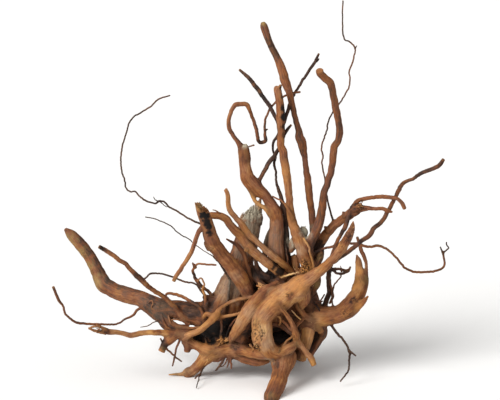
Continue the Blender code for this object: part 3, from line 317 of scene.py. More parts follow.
"back_roots": """
back_leg limb last floor: 296 328 -18 9, 299 337 -34 7.6, 301 345 -48 6.6, 301 351 -59 5.9,
  300.5 357 -67 5.4, 300 363 -74 5.2;
back_root_left root: 230 336 -18 8, 226 340 -32 6.8, 228 344 -46 5.6, 224 345 -60 4.6,
  227 342 -76 3.2, 224 341 -92 1.2;
back_limb_up root: 243 270 -26 8.5, 246 256 -38 6.8, 251 243 -47 5.6, 250 230 -58 4.6,
  253 221 -70 3.4, 251 213 -80 1.6;
back_limb_right root: 289 300 -22 9.5, 296 294 -40 7.4, 297 286 -56 6, 303 286 -74 4.6,
  300 291 -92 3, 304 290 -108 1.2;
back_limb_left root: 220 318 -20 9, 209 317 -38 6.8, 200 310 -52 5.4, 188 313 -66 4.4,
  180 308 -84 3, 168 309 -100 1;
back_limb_far_right root: 318 316 -6 7, 326 314 -28 5.8, 337 314 -44 4.6, 343 308 -62 3.2,
  352 298 -82 1.2;
back_root_low root: 256 336 -22 7.5, 258 343 -40 5.8, 254 346 -56 4.2, 250 341 -86 1.2;
back_twig_left twig: 196 311 -57 1.8, 200 305 -72 1.2, 205 305 -86 1, 203 309 -102 0.8;
back_twig_right twig: 300 286 -66 1.8, 295 281 -82 1.2, 291 284 -98 1, 288 289 -112 0.8;
back_twig_far_right twig: 338 313 -48 1.8, 344 313 -68 1.2, 345 308 -84 1, 348 303 -98 0.8;
back_twig_up twig: 250 236 -53 1.8, 245 228 -68 1.2, 246 220 -82 1, 251 217 -96 0.8;
back_twig_heart twig: 268 318 -30 1.8, 274 308 -52 1.3, 270 302 -70 1.1, 276 300 -92 0.8;
back_twig_low twig: 281 340 -30 1.6, 283 346 -48 1.2, 279 349 -60 1, 281 351 -72 0.8;
back_twig_root twig: 228 343 -44 1.6, 236 346 -56 1.1, 241 343 -70 0.9, 240 339 -84 0.8;
back_twig_trunk twig: 232 296 -22 1.6, 226 290 -42 1.2, 229 283 -58 1, 225 281 -74 0.8""",
}

# Rootlets too fine for the solid, and one pale broken chip, in the same form as a piece above.
# The near-black crown and hollow blocks are roots put into the crown's gap and the left hollow as
# painted shade, and the crown_dark sticks across that gap are toned dark as painted shade too.
FINE_ROUTES = """
hook_knob twig: 196 268 1 1, 193.6 264.6 1 1.2, 192.6 262.8 1 0.7;
far_shoot_one twig tone 0.08: 153.6 197 -11 0.4, 155.5 200 -10 0.5, 160 201.5 -8 0.6;
far_shoot_two twig tone 0.08: 159.5 201 -8 0.5, 163.5 204.8 -6 0.45, 166.3 206.8 -3 0.4,
  169 206.6 0 0.45;
whisker twig tone 0.3: 140.5 327.2 14 0.35, 145 326.4 12 0.45, 149.5 325 10 0.5, 154 322 7 0.5,
  158.5 320.8 4 0.6, 162 319.5 2 0.6;
fork_vein_one twig tone 0.72: 160.4 309 0 0.9, 161.2 313.5 2.5 1.1, 162.5 318 5 1.1,
  164.5 324 6.5 1.1, 168 328 7 1, 174 330.5 7 1, 183 331 8 0.9, 190 332.5 9 0.9;
fork_vein_two twig tone 0.72: 168 314 1 0.8, 168.6 317.5 4 0.9, 170 321 6 0.9, 173.5 325 6.5 0.9,
  180 327.2 7 0.9;
fork_thread stick tone 0.62: 167 318.6 3 1.4, 173 323.6 5 1.7, 180 327 7 1.5, 188 327.6 8 1.3,
  195 328 11 1.1, 201 326.6 15 0.9;
fork_chip twig tone 0.6: 168.5 320.6 4 0.7, 175 319.8 5 0.8, 182 321.4 4 0.8, 189 324.6 3 1.4;
fork_drop stick tone 0.42: 161 319 -1 2.2, 163.4 325 2 2.2, 167.6 329.6 5 1.9, 176 332.6 7 1.6;
crown_block root tone 0.05: 246 292 -8 6, 254 283 -7 6.4, 262 283 -7 6.4, 270 280.6 -7 6.4,
  278 274 -7 6.6, 284 266 -8 4.6;
crown_dark_one stick tone 0.3: 252 266 -4 2, 254 274 -1 2.6, 258 281 3 2.8, 264 287 6 3,
  268 294 8 3;
crown_dark_two stick tone 0.2: 252 279 0 2.4, 258 276.6 1 2, 264 277.6 2 2.4, 270 281 2 2.2,
  277 280 3 2, 283 275 3 1.8;
crown_dark_three stick tone 0.16: 268 262 2 1.8, 273 268 3 2.4, 279 272 4 2.6, 286 278 4 3;
crown_dark_four stick tone 0.36: 262 292 9 2, 269 287 7 2.4, 276 284 6 2.6, 284 284 6 2.4;
hollow_block root tone 0.04: 186 334 -8 5, 194 337 -12 6, 203 339 -14 7, 212 340 -16 8;
striped_inner root tone 0.14: 316 325 -4 3.2, 316.4 331 -5 2.7, 315.4 337.4 -5 2.5,
  312.6 344 -4 2.4, 309.4 350 -3 3;
stump_knob root tone 0.62 last cut: 211.4 246.4 26 4.2, 208.4 244 28 3.6, 206.8 242.4 29 2.6;
arm_knob root tone 0.55: 353 210.4 8 2.6, 357 207.4 9 2.9, 361.4 206 9 2.2;
trunk_scrap root tone 0.3 last 2: 259 224 -16 2.6, 260.4 217.6 -15 2.4, 261 213.4 -15 1.6;
strap_skirt root tone 0.4: 259 304 19 3.6, 253.6 311 20 5.8, 248.4 320 18.5 6.8, 245 330 14.5 6.6,
  241 339 10 6;
crown_dark_five twig tone 0.2: 256 260 0 1.2, 258.6 267.4 1 1.3, 263 273.6 2 1.9, 269 276 2 1.8;
arm_strand_high stick tone 0.66: 88.6 328.4 36 0.9, 92.4 326.8 35 1.1, 97.4 326 33.5 1.2,
  102 328 31 1.4, 106.5 331 28 1.9;
arm_strand_low stick tone 0.7: 88.9 328.6 36 0.8, 93.6 330.2 34 1.3, 99.4 332 31.4 1.5,
  105.5 332.2 28 1.9;
limb_curl twig tone 0.66: 148.5 303 -2.5 0.5, 151.5 300.5 -1.5 0.6, 153 303.5 0 0.6,
  151.8 307.5 0.5 0.6, 154 311 0.5 0.6, 157.5 309.8 2 0.5;
low_hair twig tone 0.08: 206 362 3 0.8, 204 366.5 4 0.6, 201 373 14 0.6, 198.6 380 27 0.55,
  196.5 387.8 40 0.5;
arch_spur twig tone 0.5: 212.8 210 16 0.5, 216 211.2 17 0.6, 219.8 213.6 17 1;
arch_stub root tone 0.7: 248.5 246.5 13 2.6, 247 249 15 2.1, 246 251 16 1.6;
loop_spur twig: 245.5 148.6 0 0.9, 249.8 146.4 1.5 0.7, 254 145.2 3 0.9;
loop_nub twig tone 0.4: 264.8 130.4 -16 0.9, 266.4 129.6 -16 0.7, 267.8 129.1 -15 0.5;
stick_nub twig: 316.2 61.2 -48 1, 317.8 59.6 -48 0.9, 318.9 58.8 -47 0.6;
stem_nub twig: 271 46 -43 1.6, 269.4 46.6 -43 1.2, 268.8 47.4 -43 0.8;
arm_nub_low twig tone 0.45: 329 231 -2 2.4, 326 228 -2 1.6, 324.6 226.6 -2 0.9;
arm_nub_high twig tone 0.5: 345.6 216.5 3 2.4, 343.6 213.6 3 1.5, 342.8 212 3 0.8;
top_side_tip twig: 354.8 48.8 -32 0.7, 355.8 47.2 -32 0.5, 356.8 45.6 -32 0.4;
hollow_thread_one twig: 202.6 331 14 0.7, 204.8 338 10 0.7, 207.4 345 8 0.6;
hollow_thread_two twig: 236 318.6 17 0.8, 232.6 322.6 15 0.8, 229.6 327 13 0.8, 226.4 335 12 0.7,
  225.4 343 11 0.7;
under_root_one twig: 224.5 353.5 9 1.6, 222 357 11 1.3, 219 360 12 1.1, 213 361.4 14 0.7;
under_root_two twig: 228 355 9 0.9, 226.4 361 11 0.7, 224 365 12 0.6, 220.6 366.8 13 0.5;
under_root_three twig: 229.4 355 10 0.9, 228.4 361 11 0.8, 228.2 364 12 0.7, 227 367.4 12 0.5;
hollow_loop twig tone 0.8: 271 320.5 30 0.9, 273.6 317.6 31 0.9, 277 316 31 1, 279.8 317.6 30 1,
  280.6 321.4 28 0.9, 279 325 25 0.9;
hollow_hook twig tone 0.72: 293.4 335.4 27 0.9, 290 338.6 28 1, 287 340.8 29 1,
  285.2 343.6 30 1.1, 282 345.6 31 0.8;
hollow_strand twig tone 0.6: 279 318 27 1.1, 284 322 26 1.2, 287.6 325.8 26 1.2,
  291.6 330.6 28 1.1;
light_strand twig tone 1: 291.6 310.4 21 0.6, 296 315.4 20 0.7, 300.8 319.6 19 0.6;
strap_shred twig: 282.2 203.6 -5 0.9, 280.4 209.6 -4 1.5, 280.8 214 -3 1.2;
side_hair_one twig: 316.8 293.6 5 0.5, 315 295.4 5 0.6, 312.4 297.4 4 0.6;
side_hair_two twig: 313.6 303.4 5 0.7, 316 303.2 6 0.6, 319.4 303.6 8 0.6, 323 301 9 0.5;
side_curl twig tone 0.05: 313 303.4 4 0.8, 315.5 304.8 6 0.9, 318.4 308.2 7 0.9, 319.4 311.6 7 0.8;
side_hair_three twig: 314.4 307.6 6 0.5, 312.6 312.4 7 0.7, 311 317 6 0.8;
riser_strand twig tone 0.5: 329.2 280 -3 0.8, 331 286 -2 1, 332.4 292 -2 1.2, 332.4 297.6 -1 1.3,
  329.6 303.4 0 1;
knotty_tip twig: 341.6 271.4 8 0.9, 341.2 268.6 9 0.6, 340.4 266 9 0.4;
light_twig twig tone 0.95: 303.6 238.2 13 0.9, 306.4 242.6 13.5 1, 309 247 13.5 1, 310.2 254 13 1,
  312.6 261.4 12 1, 313.4 268 10 1;
pale_chip root tone 0.5 flat 0.3 first point last 3.2: 306 242 -1 1, 305.2 237 -1 1.6,
  303.8 232 -1 2.3, 301.4 228.6 -2 2.5"""

# Where the wood is worn or stained, and where light and shade are painted on, by kind. The dark
# places are partly bark and stains and partly painted shade on shaded sides and in creases, the
# black ones partly black stains and partly painted shade in hollows and gaps, and the light ones
# partly lighter wood and partly painted highlights on lit sides. Each place is across, down, toward
# the eye, radius and strength. The black and the pitted places have the sharpest edges.
PAINTED_LIGHT_AND_WEAR_PLACES = {
"dark": """
272 49 -43 14 0.4, 332 90 24 11 0.3, 280 374 50 9 0.35, 276 389 66 10 0.45, 292.4 294.8 35 4.6 1,
290.6 298.4 35 4 0.9, 84 239.6 -45 7 0.5, 91.6 249 -41 7.4 0.55, 98.6 260 -37 7.4 0.6,
104 270.5 -32 7 0.65, 108 332 29 4 0.9, 129 335 20 3 0.6, 157 331 13 5 0.7, 172 332 10 6 0.8,
104 249.4 44 4 0.7, 164 345 14 6 0.9, 130 288 -18 9 0.5, 150 306 -4 9 0.5, 160 318 3 8 0.5,
395 197 13 5 0.5, 349 219 12 5 0.4, 430 170 44 6 0.5, 269 287 13 9 0.6, 261 294 21 8 0.35,
248.6 324 26 5.4 0.7, 140 299 -4 8 0.6, 125 293 -13 7 0.4, 345 239 64 8 0.6, 351 230 70 5 0.4,
287 180 6 8 0.3, 286 160 4 8 0.4, 330 315 12 9 0.35, 213 259 26 8 0.3, 110 279 -27 6 0.8,
122 285 -22 6 0.7, 137 289 -17 6.5 0.7, 151 296 -9 8 0.6, 163 303 -2 10 0.55, 178 306 2 10 0.7,
192 308 4 12 0.95, 205 306 4 10 0.7, 138 276 26 9 0.9, 149 287 19 5 0.5, 194 275 -1 5 0.9,
199 284 -2 5 0.9, 206 291 -3 5 0.9, 211.4 298 -3 5 0.8, 275 364 44 7 0.9, 271 372 52 5 0.7,
274 395 70 9 0.6, 420 174 38 7 0.5, 377 226 13 5 0.5, 360 242 26 4 0.5, 340 252 40 5 0.6,
342 232 19 5 0.7, 347 222 11 4 0.6, 256 272 2 6 0.7, 250 292 8 6 0.6, 281 367 30 6 0.4,
301 352 12 6 0.5, 333 305 10 5 0.3, 252 330 20 9 0.9""",
"grey": """
235 278 21 8 0.1, 122 292 -14 11 0.05, 141 300 -4 14 0.06, 160 310 0 15 0.09, 104 283 -24 9 0.05,
305 234 0 7 1, 250 312 33 9 0.13, 238 322 31 8 0.1, 304 232 0 10 1, 250 229 -12 12 0.6,
243 250 -9 10 0.3, 270 359 34 7 0.3, 266 332 44 9 0.2, 267 345 44 8 0.25, 296 250 10 8 0.25,
224 285 8 12 0.2, 250 213 -12 14 1, 293 243 -2 6.5 1, 245 145.4 2 3.8 0.9, 268 240 4 22 0.15,
230 285 -6 20 0.3, 236 322 32 6 0.2, 262 318 42 8 0.08""",
"black": """
292.4 294.8 35 3.2 0.35, 285 276 1 5 0.9, 235 345 15 6.6 0.6, 214 328 10 9 1, 206 333 8 8 1,
224 332 9 8 1, 231 322 6 8 1, 247.6 334 21 7.4 0.65, 250.4 326 22 5 0.5, 206.6 225 42 5 1,
209.6 236 38 3.6 0.8, 246 343 14 6 0.5, 203.6 215.6 45 5 1, 208.4 216 43 4.6 1,
206.4 221.4 43 5.4 1, 208.6 227.4 41 5 1, 209.4 233 39 4.2 1, 282.4 88 -6 3.4 1,
282.8 97 -5 3 0.8, 208 331 4 12.5 1, 219 329 5 12.6 1, 229 326 4 11 1, 234 319 3 8 1,
199 337 -3 9 1, 212 339 5 8 1, 227 337 5 8 0.9, 284.4 88 -6 4.5 0.9, 284.4 108 -3 4.6 0.95,
284.8 117 -2 5 1, 284.6 127 -2 4.6 0.9, 285 135 -2 4 0.7, 318 247 -2 10 0.85, 311 256 -6 10 0.6,
281 336 -8 15 0.9, 277 329 -4 8 0.9, 270 277 -10 14 0.9, 274 266 9 5.6 0.95, 279.4 271 8 6 0.95,
272 273 3 6.5 0.9, 262 277 0 6 0.85, 240 285 -12 10 0.6, 354 297.6 9 2.7 0.9,
351.6 302 9.6 2.2 0.85, 357 301.6 9 1.7 0.7, 312 318 -6 9 0.5, 251.4 81 -33.4 5 0.8,
257 88.4 -28.6 5 0.8, 263 97 -22.4 5.4 0.8, 268 139.5 -15 5 0.8, 260 142 -15 4 0.8,
101 247 44 4 0.9, 441 163 51 5 0.5, 294 356 6 9 0.6, 246 315 8 8 0.6""",
"light": """
298 300 31 9 0.8, 262 285 15 6 1, 361 268 -4 9 0.5, 352 291 6 8 0.3, 283 291 36 7 0.5,
213 247 31 4.4 0.55, 303 296 29 7 0.5, 252 310 33 9 0.15, 284 294 35 8 0.6, 300 246 12 9 0.5,
357 285 2 9 0.6, 262 329 45 6 0.6, 222 262 27 7 0.3, 232 276 21 7 0.4, 244 284 16 6 0.4,
306 336 12 9 0.5, 222 296 1 11 0.6, 205 358 10 9 0.4, 264 300 36 9 0.3, 249 170 4 8 0.35,
188 372 0 8 0.4, 246 354 18 7 0.4, 320 322 6 7 0.3""",
"pits": """
346 314 10 6 0.8, 360 207 11 7 1, 98 328 34 6 0.6, 348 234 66 8 0.7, 84 256 -38 6 0.5,
91 271 -33 6 0.5, 256 336 46 9 1, 255 324 43 7 0.8, 255 346 43 7 1, 354 299 9 4 0.9,
221 341 14 7 0.8, 357 206 10 6 0.9, 252 214 -12 12 0.35, 299 236 -2 8 0.4, 86 265 -36 5 0.4,
304 267 14 8 1, 289 295 35 3.4 0.9, 202 205 45 5 0.5, 236 346 14 6 0.7""",
"fresh": """
345 315 11 6 0.4, 330 310 12 8 0.2, 256 336 46 9 0.45, 307 338 10 9 0.3, 305 268 13 8 1,
221 340 14 6 0.9, 205 347 11 7 0.4, 294 285 34 12 0.55, 272 301 38 11 0.5, 215 315 24 7 0.5,
358 306 9 5 0.6, 357 284 0 6.5 0.8, 359 272 -5 5 0.6, 288 170 4 12 0.35, 297 222 10 12 0.35,
255 350 43 5 0.5, 314 362 24 5 0.5""",
"olive": """
70 241 -46 9 0.6, 79 254 -41 9 0.7, 87 268 -35 9 0.7, 96 282 -29 9 0.7, 364 281 -3 5 0.5,
263.4 23.4 -48 3.2 0.9, 366 279 -4 4 0.7, 256 333 46 8 0.45, 178 374 -4 8 0.4, 163 350 12 4 0.7,
314 362 24 5 0.5, 174 280 43 4 0.4, 271 399 74 6 0.4, 200 206 46 6 0.6, 320 256 3 5 0.5,
317 284 11 5 0.5, 256 322 43 6 0.3""",
}

# Bunches of splinters: across, down, toward and the spread of a bunch, how many, how long and
# how thick they are, and the way they point as across, down and toward.
SPLINTER_BUNCHES = """
349.6 234 67 2.6 9 9 1.2 0.35 -0.9 0.15,
344 243 60 2.4 8 8 1.2 0.5 -0.85 0.15,
360.6 207 11.5 2.6 8 3.6 1.1 0.4 -0.3 0.6,
98 328.6 34 2.6 5 4 0.8 -0.8 -0.2 0.3,
305.2 268 13 3.8 26 3.2 1.2 0.3 -0.1 0.4,
299 271.5 12.5 3.5 8 5 0.7 -0.5 -0.3 0.3,
226 339.8 12.6 2.4 4 3.4 1.3 -0.9 0.35 0.1,
220.4 342.6 12.4 2.4 5 3.6 1.3 -0.8 0.5 0.1,
252.4 346 42 2.2 4 6.5 1.2 0.45 0.8 0.1,
257.6 347.4 43 2.2 4 6.5 1.2 0.45 0.8 0.1,
262 285.6 13 4.4 8 7 0.9 0.9 0.15 0.1,
200 206 44 2.6 6 4 0.9 -0.2 -0.9 0.1,
251 212.5 -14 5 8 4.5 1 0.2 -0.9 0.1,
303 232 -1 3 6 4 0.9 0.3 -0.8 0.1,
313 322 9 3 7 5 0.7 -0.3 0.6 0.3,
296 336 28 2.4 6 5 0.8 -0.6 0.4 0.2,
208 357 9 4 6 5 0.9 -0.5 0.8 0.1,
348 311 9 3 5 4.5 0.9 0.8 -0.3 0.1,
352 228 71 2.4 5 6 0.8 0.1 -0.9 0.1"""


def linear(code):
    """Turn an sRGB hex colour such as #8A6340 into linear red, green and blue."""
    parts = [int(code[i:i + 2], 16) / 255 for i in (1, 3, 5)]
    return tuple(v / 12.92 if v <= 0.04045 else ((v + 0.055) / 1.055) ** 2.4 for v in parts)


def shaded(colour, share=1.0):
    """A linear colour made lighter or darker by a share, with its alpha."""
    return (*[part * share for part in colour], 1)


def clear_of_zero(vectors):
    """Vectors along the last axis, each divided by its length."""
    return vectors / np.maximum(np.linalg.norm(vectors, axis=-1, keepdims=True), 1e-9)


def rise_between(value, low, high):
    """0 below low, 1 above high, and three t squared minus two t cubed between them."""
    t = np.clip((value - low) / (high - low), 0, 1)
    return t * t * (3 - 2 * t)


def soft_noise(points, seed):
    """Gradient noise at points, about -1 to 1: a random slope at each corner of a unit grid, times
    the way from that corner, blended with six t^5 minus fifteen t^4 plus ten t^3."""
    rng = np.random.default_rng(seed)
    slopes = clear_of_zero(rng.normal(size=(NOISE_SLOPES, 3)))
    order = rng.permutation(NOISE_SLOPES)
    cell = np.floor(points).astype(np.int64)
    local = points - cell
    fade = local ** 3 * (local * (local * 6 - 15) + 10)
    total = np.zeros(points.shape[:-1])
    for corner in itertools.product((0, 1), repeat=3):
        place = (cell + corner) % NOISE_SLOPES
        pick = order[place[..., 0]]
        for axis in (1, 2):
            pick = order[(pick + place[..., axis]) % NOISE_SLOPES]
        weight = np.where(corner, fade, 1 - fade).prod(-1)
        total += weight * ((local - corner) * slopes[pick]).sum(-1)
    return total * NOISE_GAIN


def number_rows(text):
    """Rows of numbers from text that has a comma between two rows."""
    return [[float(word) for word in row.split()] for row in text.split(",")]


def sheet_to_space(route):
    """Rows of x, y, z and radius in millimetres for rows of across, down, toward and radius.

    The sight line of a place on the sheet is followed until it stands that far toward the eye.
    """
    across, down, toward, radius = np.array(route, float).T
    rise = (SHEET_MIDDLE_DOWN - down) / EYE_DISTANCE
    reach = (EYE_DISTANCE * LEVEL - toward) / (LEVEL + rise * DROP)
    x = (across - SHEET_MIDDLE_ACROSS) * reach / EYE_DISTANCE + SHIFT_X
    z = SHEET_MIDDLE_HEIGHT + EYE_DISTANCE * DROP + reach * (rise * LEVEL - DROP)
    return np.stack([x, SHIFT_Y - toward, z, radius * reach / EYE_DISTANCE], 1)


def smooth_way(points):
    """A centripetal Catmull-Rom line through rows of x, y, z and radius: each stretch is blended
    from four neighbours whose knots are the square root of their distance apart."""
    ends = np.vstack([2 * points[0] - points[1], points, 2 * points[-1] - points[-2]])
    gap = np.sqrt(np.maximum(np.linalg.norm(np.diff(ends[:, :3], axis=0), axis=1), 0.2))
    share = np.linspace(0, 1, STRETCH_STEPS, endpoint=False)[None, :, None]
    t0 = np.zeros((len(points) - 1, 1, 1))
    t1 = t0 + gap[:-2, None, None]
    t2 = t1 + gap[1:-1, None, None]
    t3 = t2 + gap[2:, None, None]
    u = t1 + share * (t2 - t1)
    p0, p1, p2, p3 = (ends[i:len(ends) - 3 + i][:, None, :] for i in range(4))
    a1 = ((t1 - u) * p0 + (u - t0) * p1) / (t1 - t0)
    a2 = ((t2 - u) * p1 + (u - t1) * p2) / (t2 - t1)
    a3 = ((t3 - u) * p2 + (u - t2) * p3) / (t3 - t2)
    b1 = ((t2 - u) * a1 + (u - t0) * a2) / (t2 - t0)
    b2 = ((t3 - u) * a2 + (u - t1) * a3) / (t3 - t1)
    line = ((t2 - u) * b1 + (u - t1) * b2) / (t2 - t1)
    return np.vstack([line.reshape(-1, 4), points[-1]])


def even_steps(line, step):
    """The same line with its rows the same distance apart, and how far along each one is."""
    along = np.concatenate([[0], np.cumsum(np.linalg.norm(np.diff(line[:, :3], axis=0), axis=1))])
    count = max(6, int(round(along[-1] / step)) + 1)
    wanted = np.linspace(0, along[-1], count)
    rows = np.stack([np.interp(wanted, along, line[:, i]) for i in range(4)], 1)
    return rows, wanted


class Limb:
    """One limb: its middle line in millimetres, a frame along it, and the radius of its wall."""

    def __init__(self, seed, kind, route, tone=None, flat=0.08, first="round", last="round",
                 slant=0.0):
        usual_tone, self.flute, self.wander = KINDS[kind]
        self.seed = seed
        self.tone = usual_tone if tone is None else tone
        self.flat = flat
        self.ends = (first, last)
        self.slant = slant
        rough = sheet_to_space(route)
        widest = rough[:, 3].max()
        cell = min(CELL_SMALLEST + CELL_GROWTH * widest, CELL_LARGEST)
        rows, self.along = even_steps(smooth_way(rough), cell * ROW_STRETCH)
        self.radius = np.maximum(rows[:, 3], THINNEST)
        self.middle = rows[:, :3] + self.wandering()
        self.step = self.along[1]
        self.tangent = clear_of_zero(np.gradient(self.middle, axis=0))
        _, ways = np.linalg.eigh(self.tangent.T @ self.tangent)
        upright = ways[:, 0]
        self.side = clear_of_zero(upright - (self.tangent @ upright)[:, None] * self.tangent)
        self.front = np.cross(self.tangent, self.side)
        columns = int(np.clip(round(2 * math.pi * widest / cell), *COLUMNS))
        self.angles = np.arange(columns) * 2 * math.pi / columns
        self.wall = self.wall_radii()
        self.widest = self.wall.max()
        self.low = self.middle.min(0) - self.widest
        self.high = self.middle.max(0) + self.widest

    def wandering(self):
        """A sideways drift of the middle line, none at its ends: gradient noise along it in waves
        of 7 mm, and on thin twigs smaller kinks of 2.7 mm."""
        still = 0 * self.along

        def along_noise(wave, apart):
            """Noise in waves along the limb for each axis, read at places that stand apart."""
            places = (np.stack([self.along / wave, still + apart * axis, still], 1)
                      for axis in range(3))
            return np.stack([soft_noise(place, self.seed) for place in places], 1)

        calm = np.maximum(np.sin(np.pi * self.along / self.along[-1]), 0) ** 0.5
        thin = 1 - rise_between(self.radius, 1.2, 3.5)
        return (along_noise(7, 9.3) * (calm * self.wander * 2)[:, None]
                + along_noise(2.7, 5.1) * (calm * thin * KINK)[:, None])

    def wall_radii(self):
        """Radius of the wall for each row and angle.

        It is the limb's own radius, pressed flat along the sight line, times one plus slow
        swelling, less long flutes that wind round it and fine grooves, plus knots.
        """
        angle = self.angles[None, :]
        along = self.along[:, None]
        own = self.radius[:, None]
        mean = self.radius.mean()
        turn = angle + 0.012 * along

        def round_noise(spread, length, number):
            """Noise round the limb that is stretched along it, on a ring of radius spread."""
            return soft_noise(np.stack([np.cos(turn) * spread, np.sin(turn) * spread,
                                        along / length + 13.7 * self.seed + 0 * turn], -1),
                              self.seed + number)

        to_eye = np.arctan2(self.front @ TOWARD_EYE, self.side @ TOWARD_EYE)[:, None]
        seen_across = 1 - (self.tangent @ TOWARD_EYE)[:, None] ** 2
        wall = own * (1 - self.flat * seen_across * np.cos(angle - to_eye) ** 2)
        swell = round_noise(0.8, 3.2 * mean + 5, 0)
        flute = round_noise(1.9, 5 * mean + 22, 1)
        wall = wall * (1.03 + SWELLING * swell - self.flute * np.exp(-(flute / 0.13) ** 2)
                       + self.flute * 0.9 * flute) + WALL_SPARE * rise_between(own, 0.8, 2.0)
        fine = round_noise(mean / 1.5, 15, 2)
        wall = wall - (FINE_GROOVE * rise_between(own, 0.8, 3.5)
                       * (1 - rise_between(np.abs(fine), 0, 0.3)))
        return np.maximum(self.knotted(wall), 0.55 * own)

    def knotted(self, wall):
        """Add knots: a round swelling with a dimple in it, where a twig once was."""
        rng = np.random.default_rng(KNOT_SEED + self.seed)
        count = int(self.along[-1] / KNOT_SPACING * rise_between(self.radius.mean(), 0.5, 3))
        for _ in range(count):
            row = rng.integers(0, len(self.along))
            turn = rng.uniform(-math.pi, math.pi)
            size = self.radius[row] * rng.uniform(0.25, 0.45) + 0.5
            round_way = (self.angles[None, :] - turn + math.pi) % (2 * math.pi) - math.pi
            away = np.hypot((self.along[:, None] - self.along[row]) / size,
                            round_way * self.radius[row] / size)
            height = size * rng.uniform(0.18, 0.32)
            wall = wall + height * (np.exp(-away ** 2) - 0.9 * np.exp(-(away / 0.42) ** 2))
        return wall


def read_limbs(text, first_seed):
    """The limbs of a block of routes, with seeds that count on from the first one."""
    made = []
    for entry in text.split(";"):
        head, route = entry.split(":")
        _, kind, *rest = head.split()
        settings = {key: word if word.isalpha() else float(word)
                    for key, word in zip(rest[::2], rest[1::2])}
        made.append(Limb(first_seed + len(made), kind, number_rows(route), **settings))
    return made


@functools.cache
def grown_pieces():
    """The limbs of the solid by piece, worked out once, with seeds in the order of the routes."""
    made = {}
    for piece, text in GROWN_ROUTES.items():
        made[piece] = read_limbs(text, sum(map(len, made.values())))
    return made


@functools.cache
def grown_limbs():
    """Every limb of the solid, in the order of its seed."""
    return tuple(itertools.chain(*grown_pieces().values()))


def splinter_limbs():
    """Bunches of splinters: short tapering spikes scattered in a ball, each with its own lean."""
    made = []
    for bunch, row in enumerate(number_rows(SPLINTER_BUNCHES)):
        centre, (spread, count, length, thickness), way = row[:3], row[3:7], np.array(row[7:])
        rng = np.random.default_rng(SPLINTER_SEED + bunch)
        for number in range(int(count)):
            foot = np.array(centre) + rng.normal(size=3) * spread * (0.5, 0.5, 0.12)
            lean = clear_of_zero(way + rng.normal(size=3) * 0.25) * length * rng.uniform(0.5, 1.1)
            bend = rng.normal(size=3) * length * 0.07
            thick = thickness * rng.uniform(0.6, 1.1)
            route = [(*(foot - lean * 0.4), thick), (*(foot + bend), thick * 0.9),
                     (*(foot + lean * 0.55 + bend), thick * 0.6), (*(foot + lean), 0.22)]
            made.append(Limb(SPLINTER_SEED + 40 * bunch + number, "twig", route,
                             tone=rng.uniform(0.55, 1.0)))
    return made


def skin_distance(points, limb, row):
    """How far points are from a limb's wall, less than 0 inside it. The limb is taken as straight
    near the given rows, and its radius is read between the rows and angles of its table."""
    away = points - limb.middle[row]
    tangent = limb.tangent[row]
    on = (away * tangent).sum(-1)
    place = row + on / limb.step
    last = len(limb.along) - 1
    inside = np.clip(place, 0, last)
    past = np.abs(place - inside) * limb.step
    off = away - on[..., None] * tangent
    turn = np.arctan2((off * limb.front[row]).sum(-1), (off * limb.side[row]).sum(-1))
    columns = limb.wall.shape[1]
    spot = turn / (2 * math.pi) % 1 * columns
    left = np.floor(spot).astype(np.int64) % columns
    right = (left + 1) % columns
    across = spot - np.floor(spot)
    lower = np.minimum(np.floor(inside).astype(np.int64), last - 1)
    up = inside - lower
    near = limb.wall[lower, left] * (1 - across) + limb.wall[lower, right] * across
    far = limb.wall[lower + 1, left] * (1 - across) + limb.wall[lower + 1, right] * across
    return np.hypot((off ** 2).sum(-1) ** 0.5, past) - (near * (1 - up) + far * up)


def nearest_rows(points, limb, choice):
    """For each point, the row of the limb's middle line nearest to it, among the chosen rows."""
    flat = points.reshape(-1, 3)
    line = limb.middle[choice]
    squares = (line ** 2).sum(1)[None, :] - 2 * flat @ line.T
    return choice[squares.argmin(1)].reshape(points.shape[:-1])


def end_room(apart, radii):
    """The least room between the two end rows of a table of distances and a wall of some radii."""
    own = np.interp(np.linspace(0, 1, apart.shape[1]), np.linspace(0, 1, len(radii)), radii)
    return min((apart[i] - own).min() for i in (0, -1))


@functools.cache
def joined(first, second):
    """Whether two limbs of the solid, given by their seeds, have grown together: an end of one is
    buried in the other, or their middle lines nearly meet."""
    limb, other = (grown_limbs()[seed] for seed in (first, second))
    stride = 1 if len(limb.middle) * len(other.middle) < CLOSE_PAIRS else 3
    apart = np.linalg.norm(limb.middle[::stride, None] - other.middle[None, ::stride], axis=2)
    depth = apart / (np.median(limb.radius) + np.median(other.radius))
    ends = min(end_room(apart, other.radius), end_room(apart.T, limb.radius))
    return min(ends, depth.min()) < 0.3


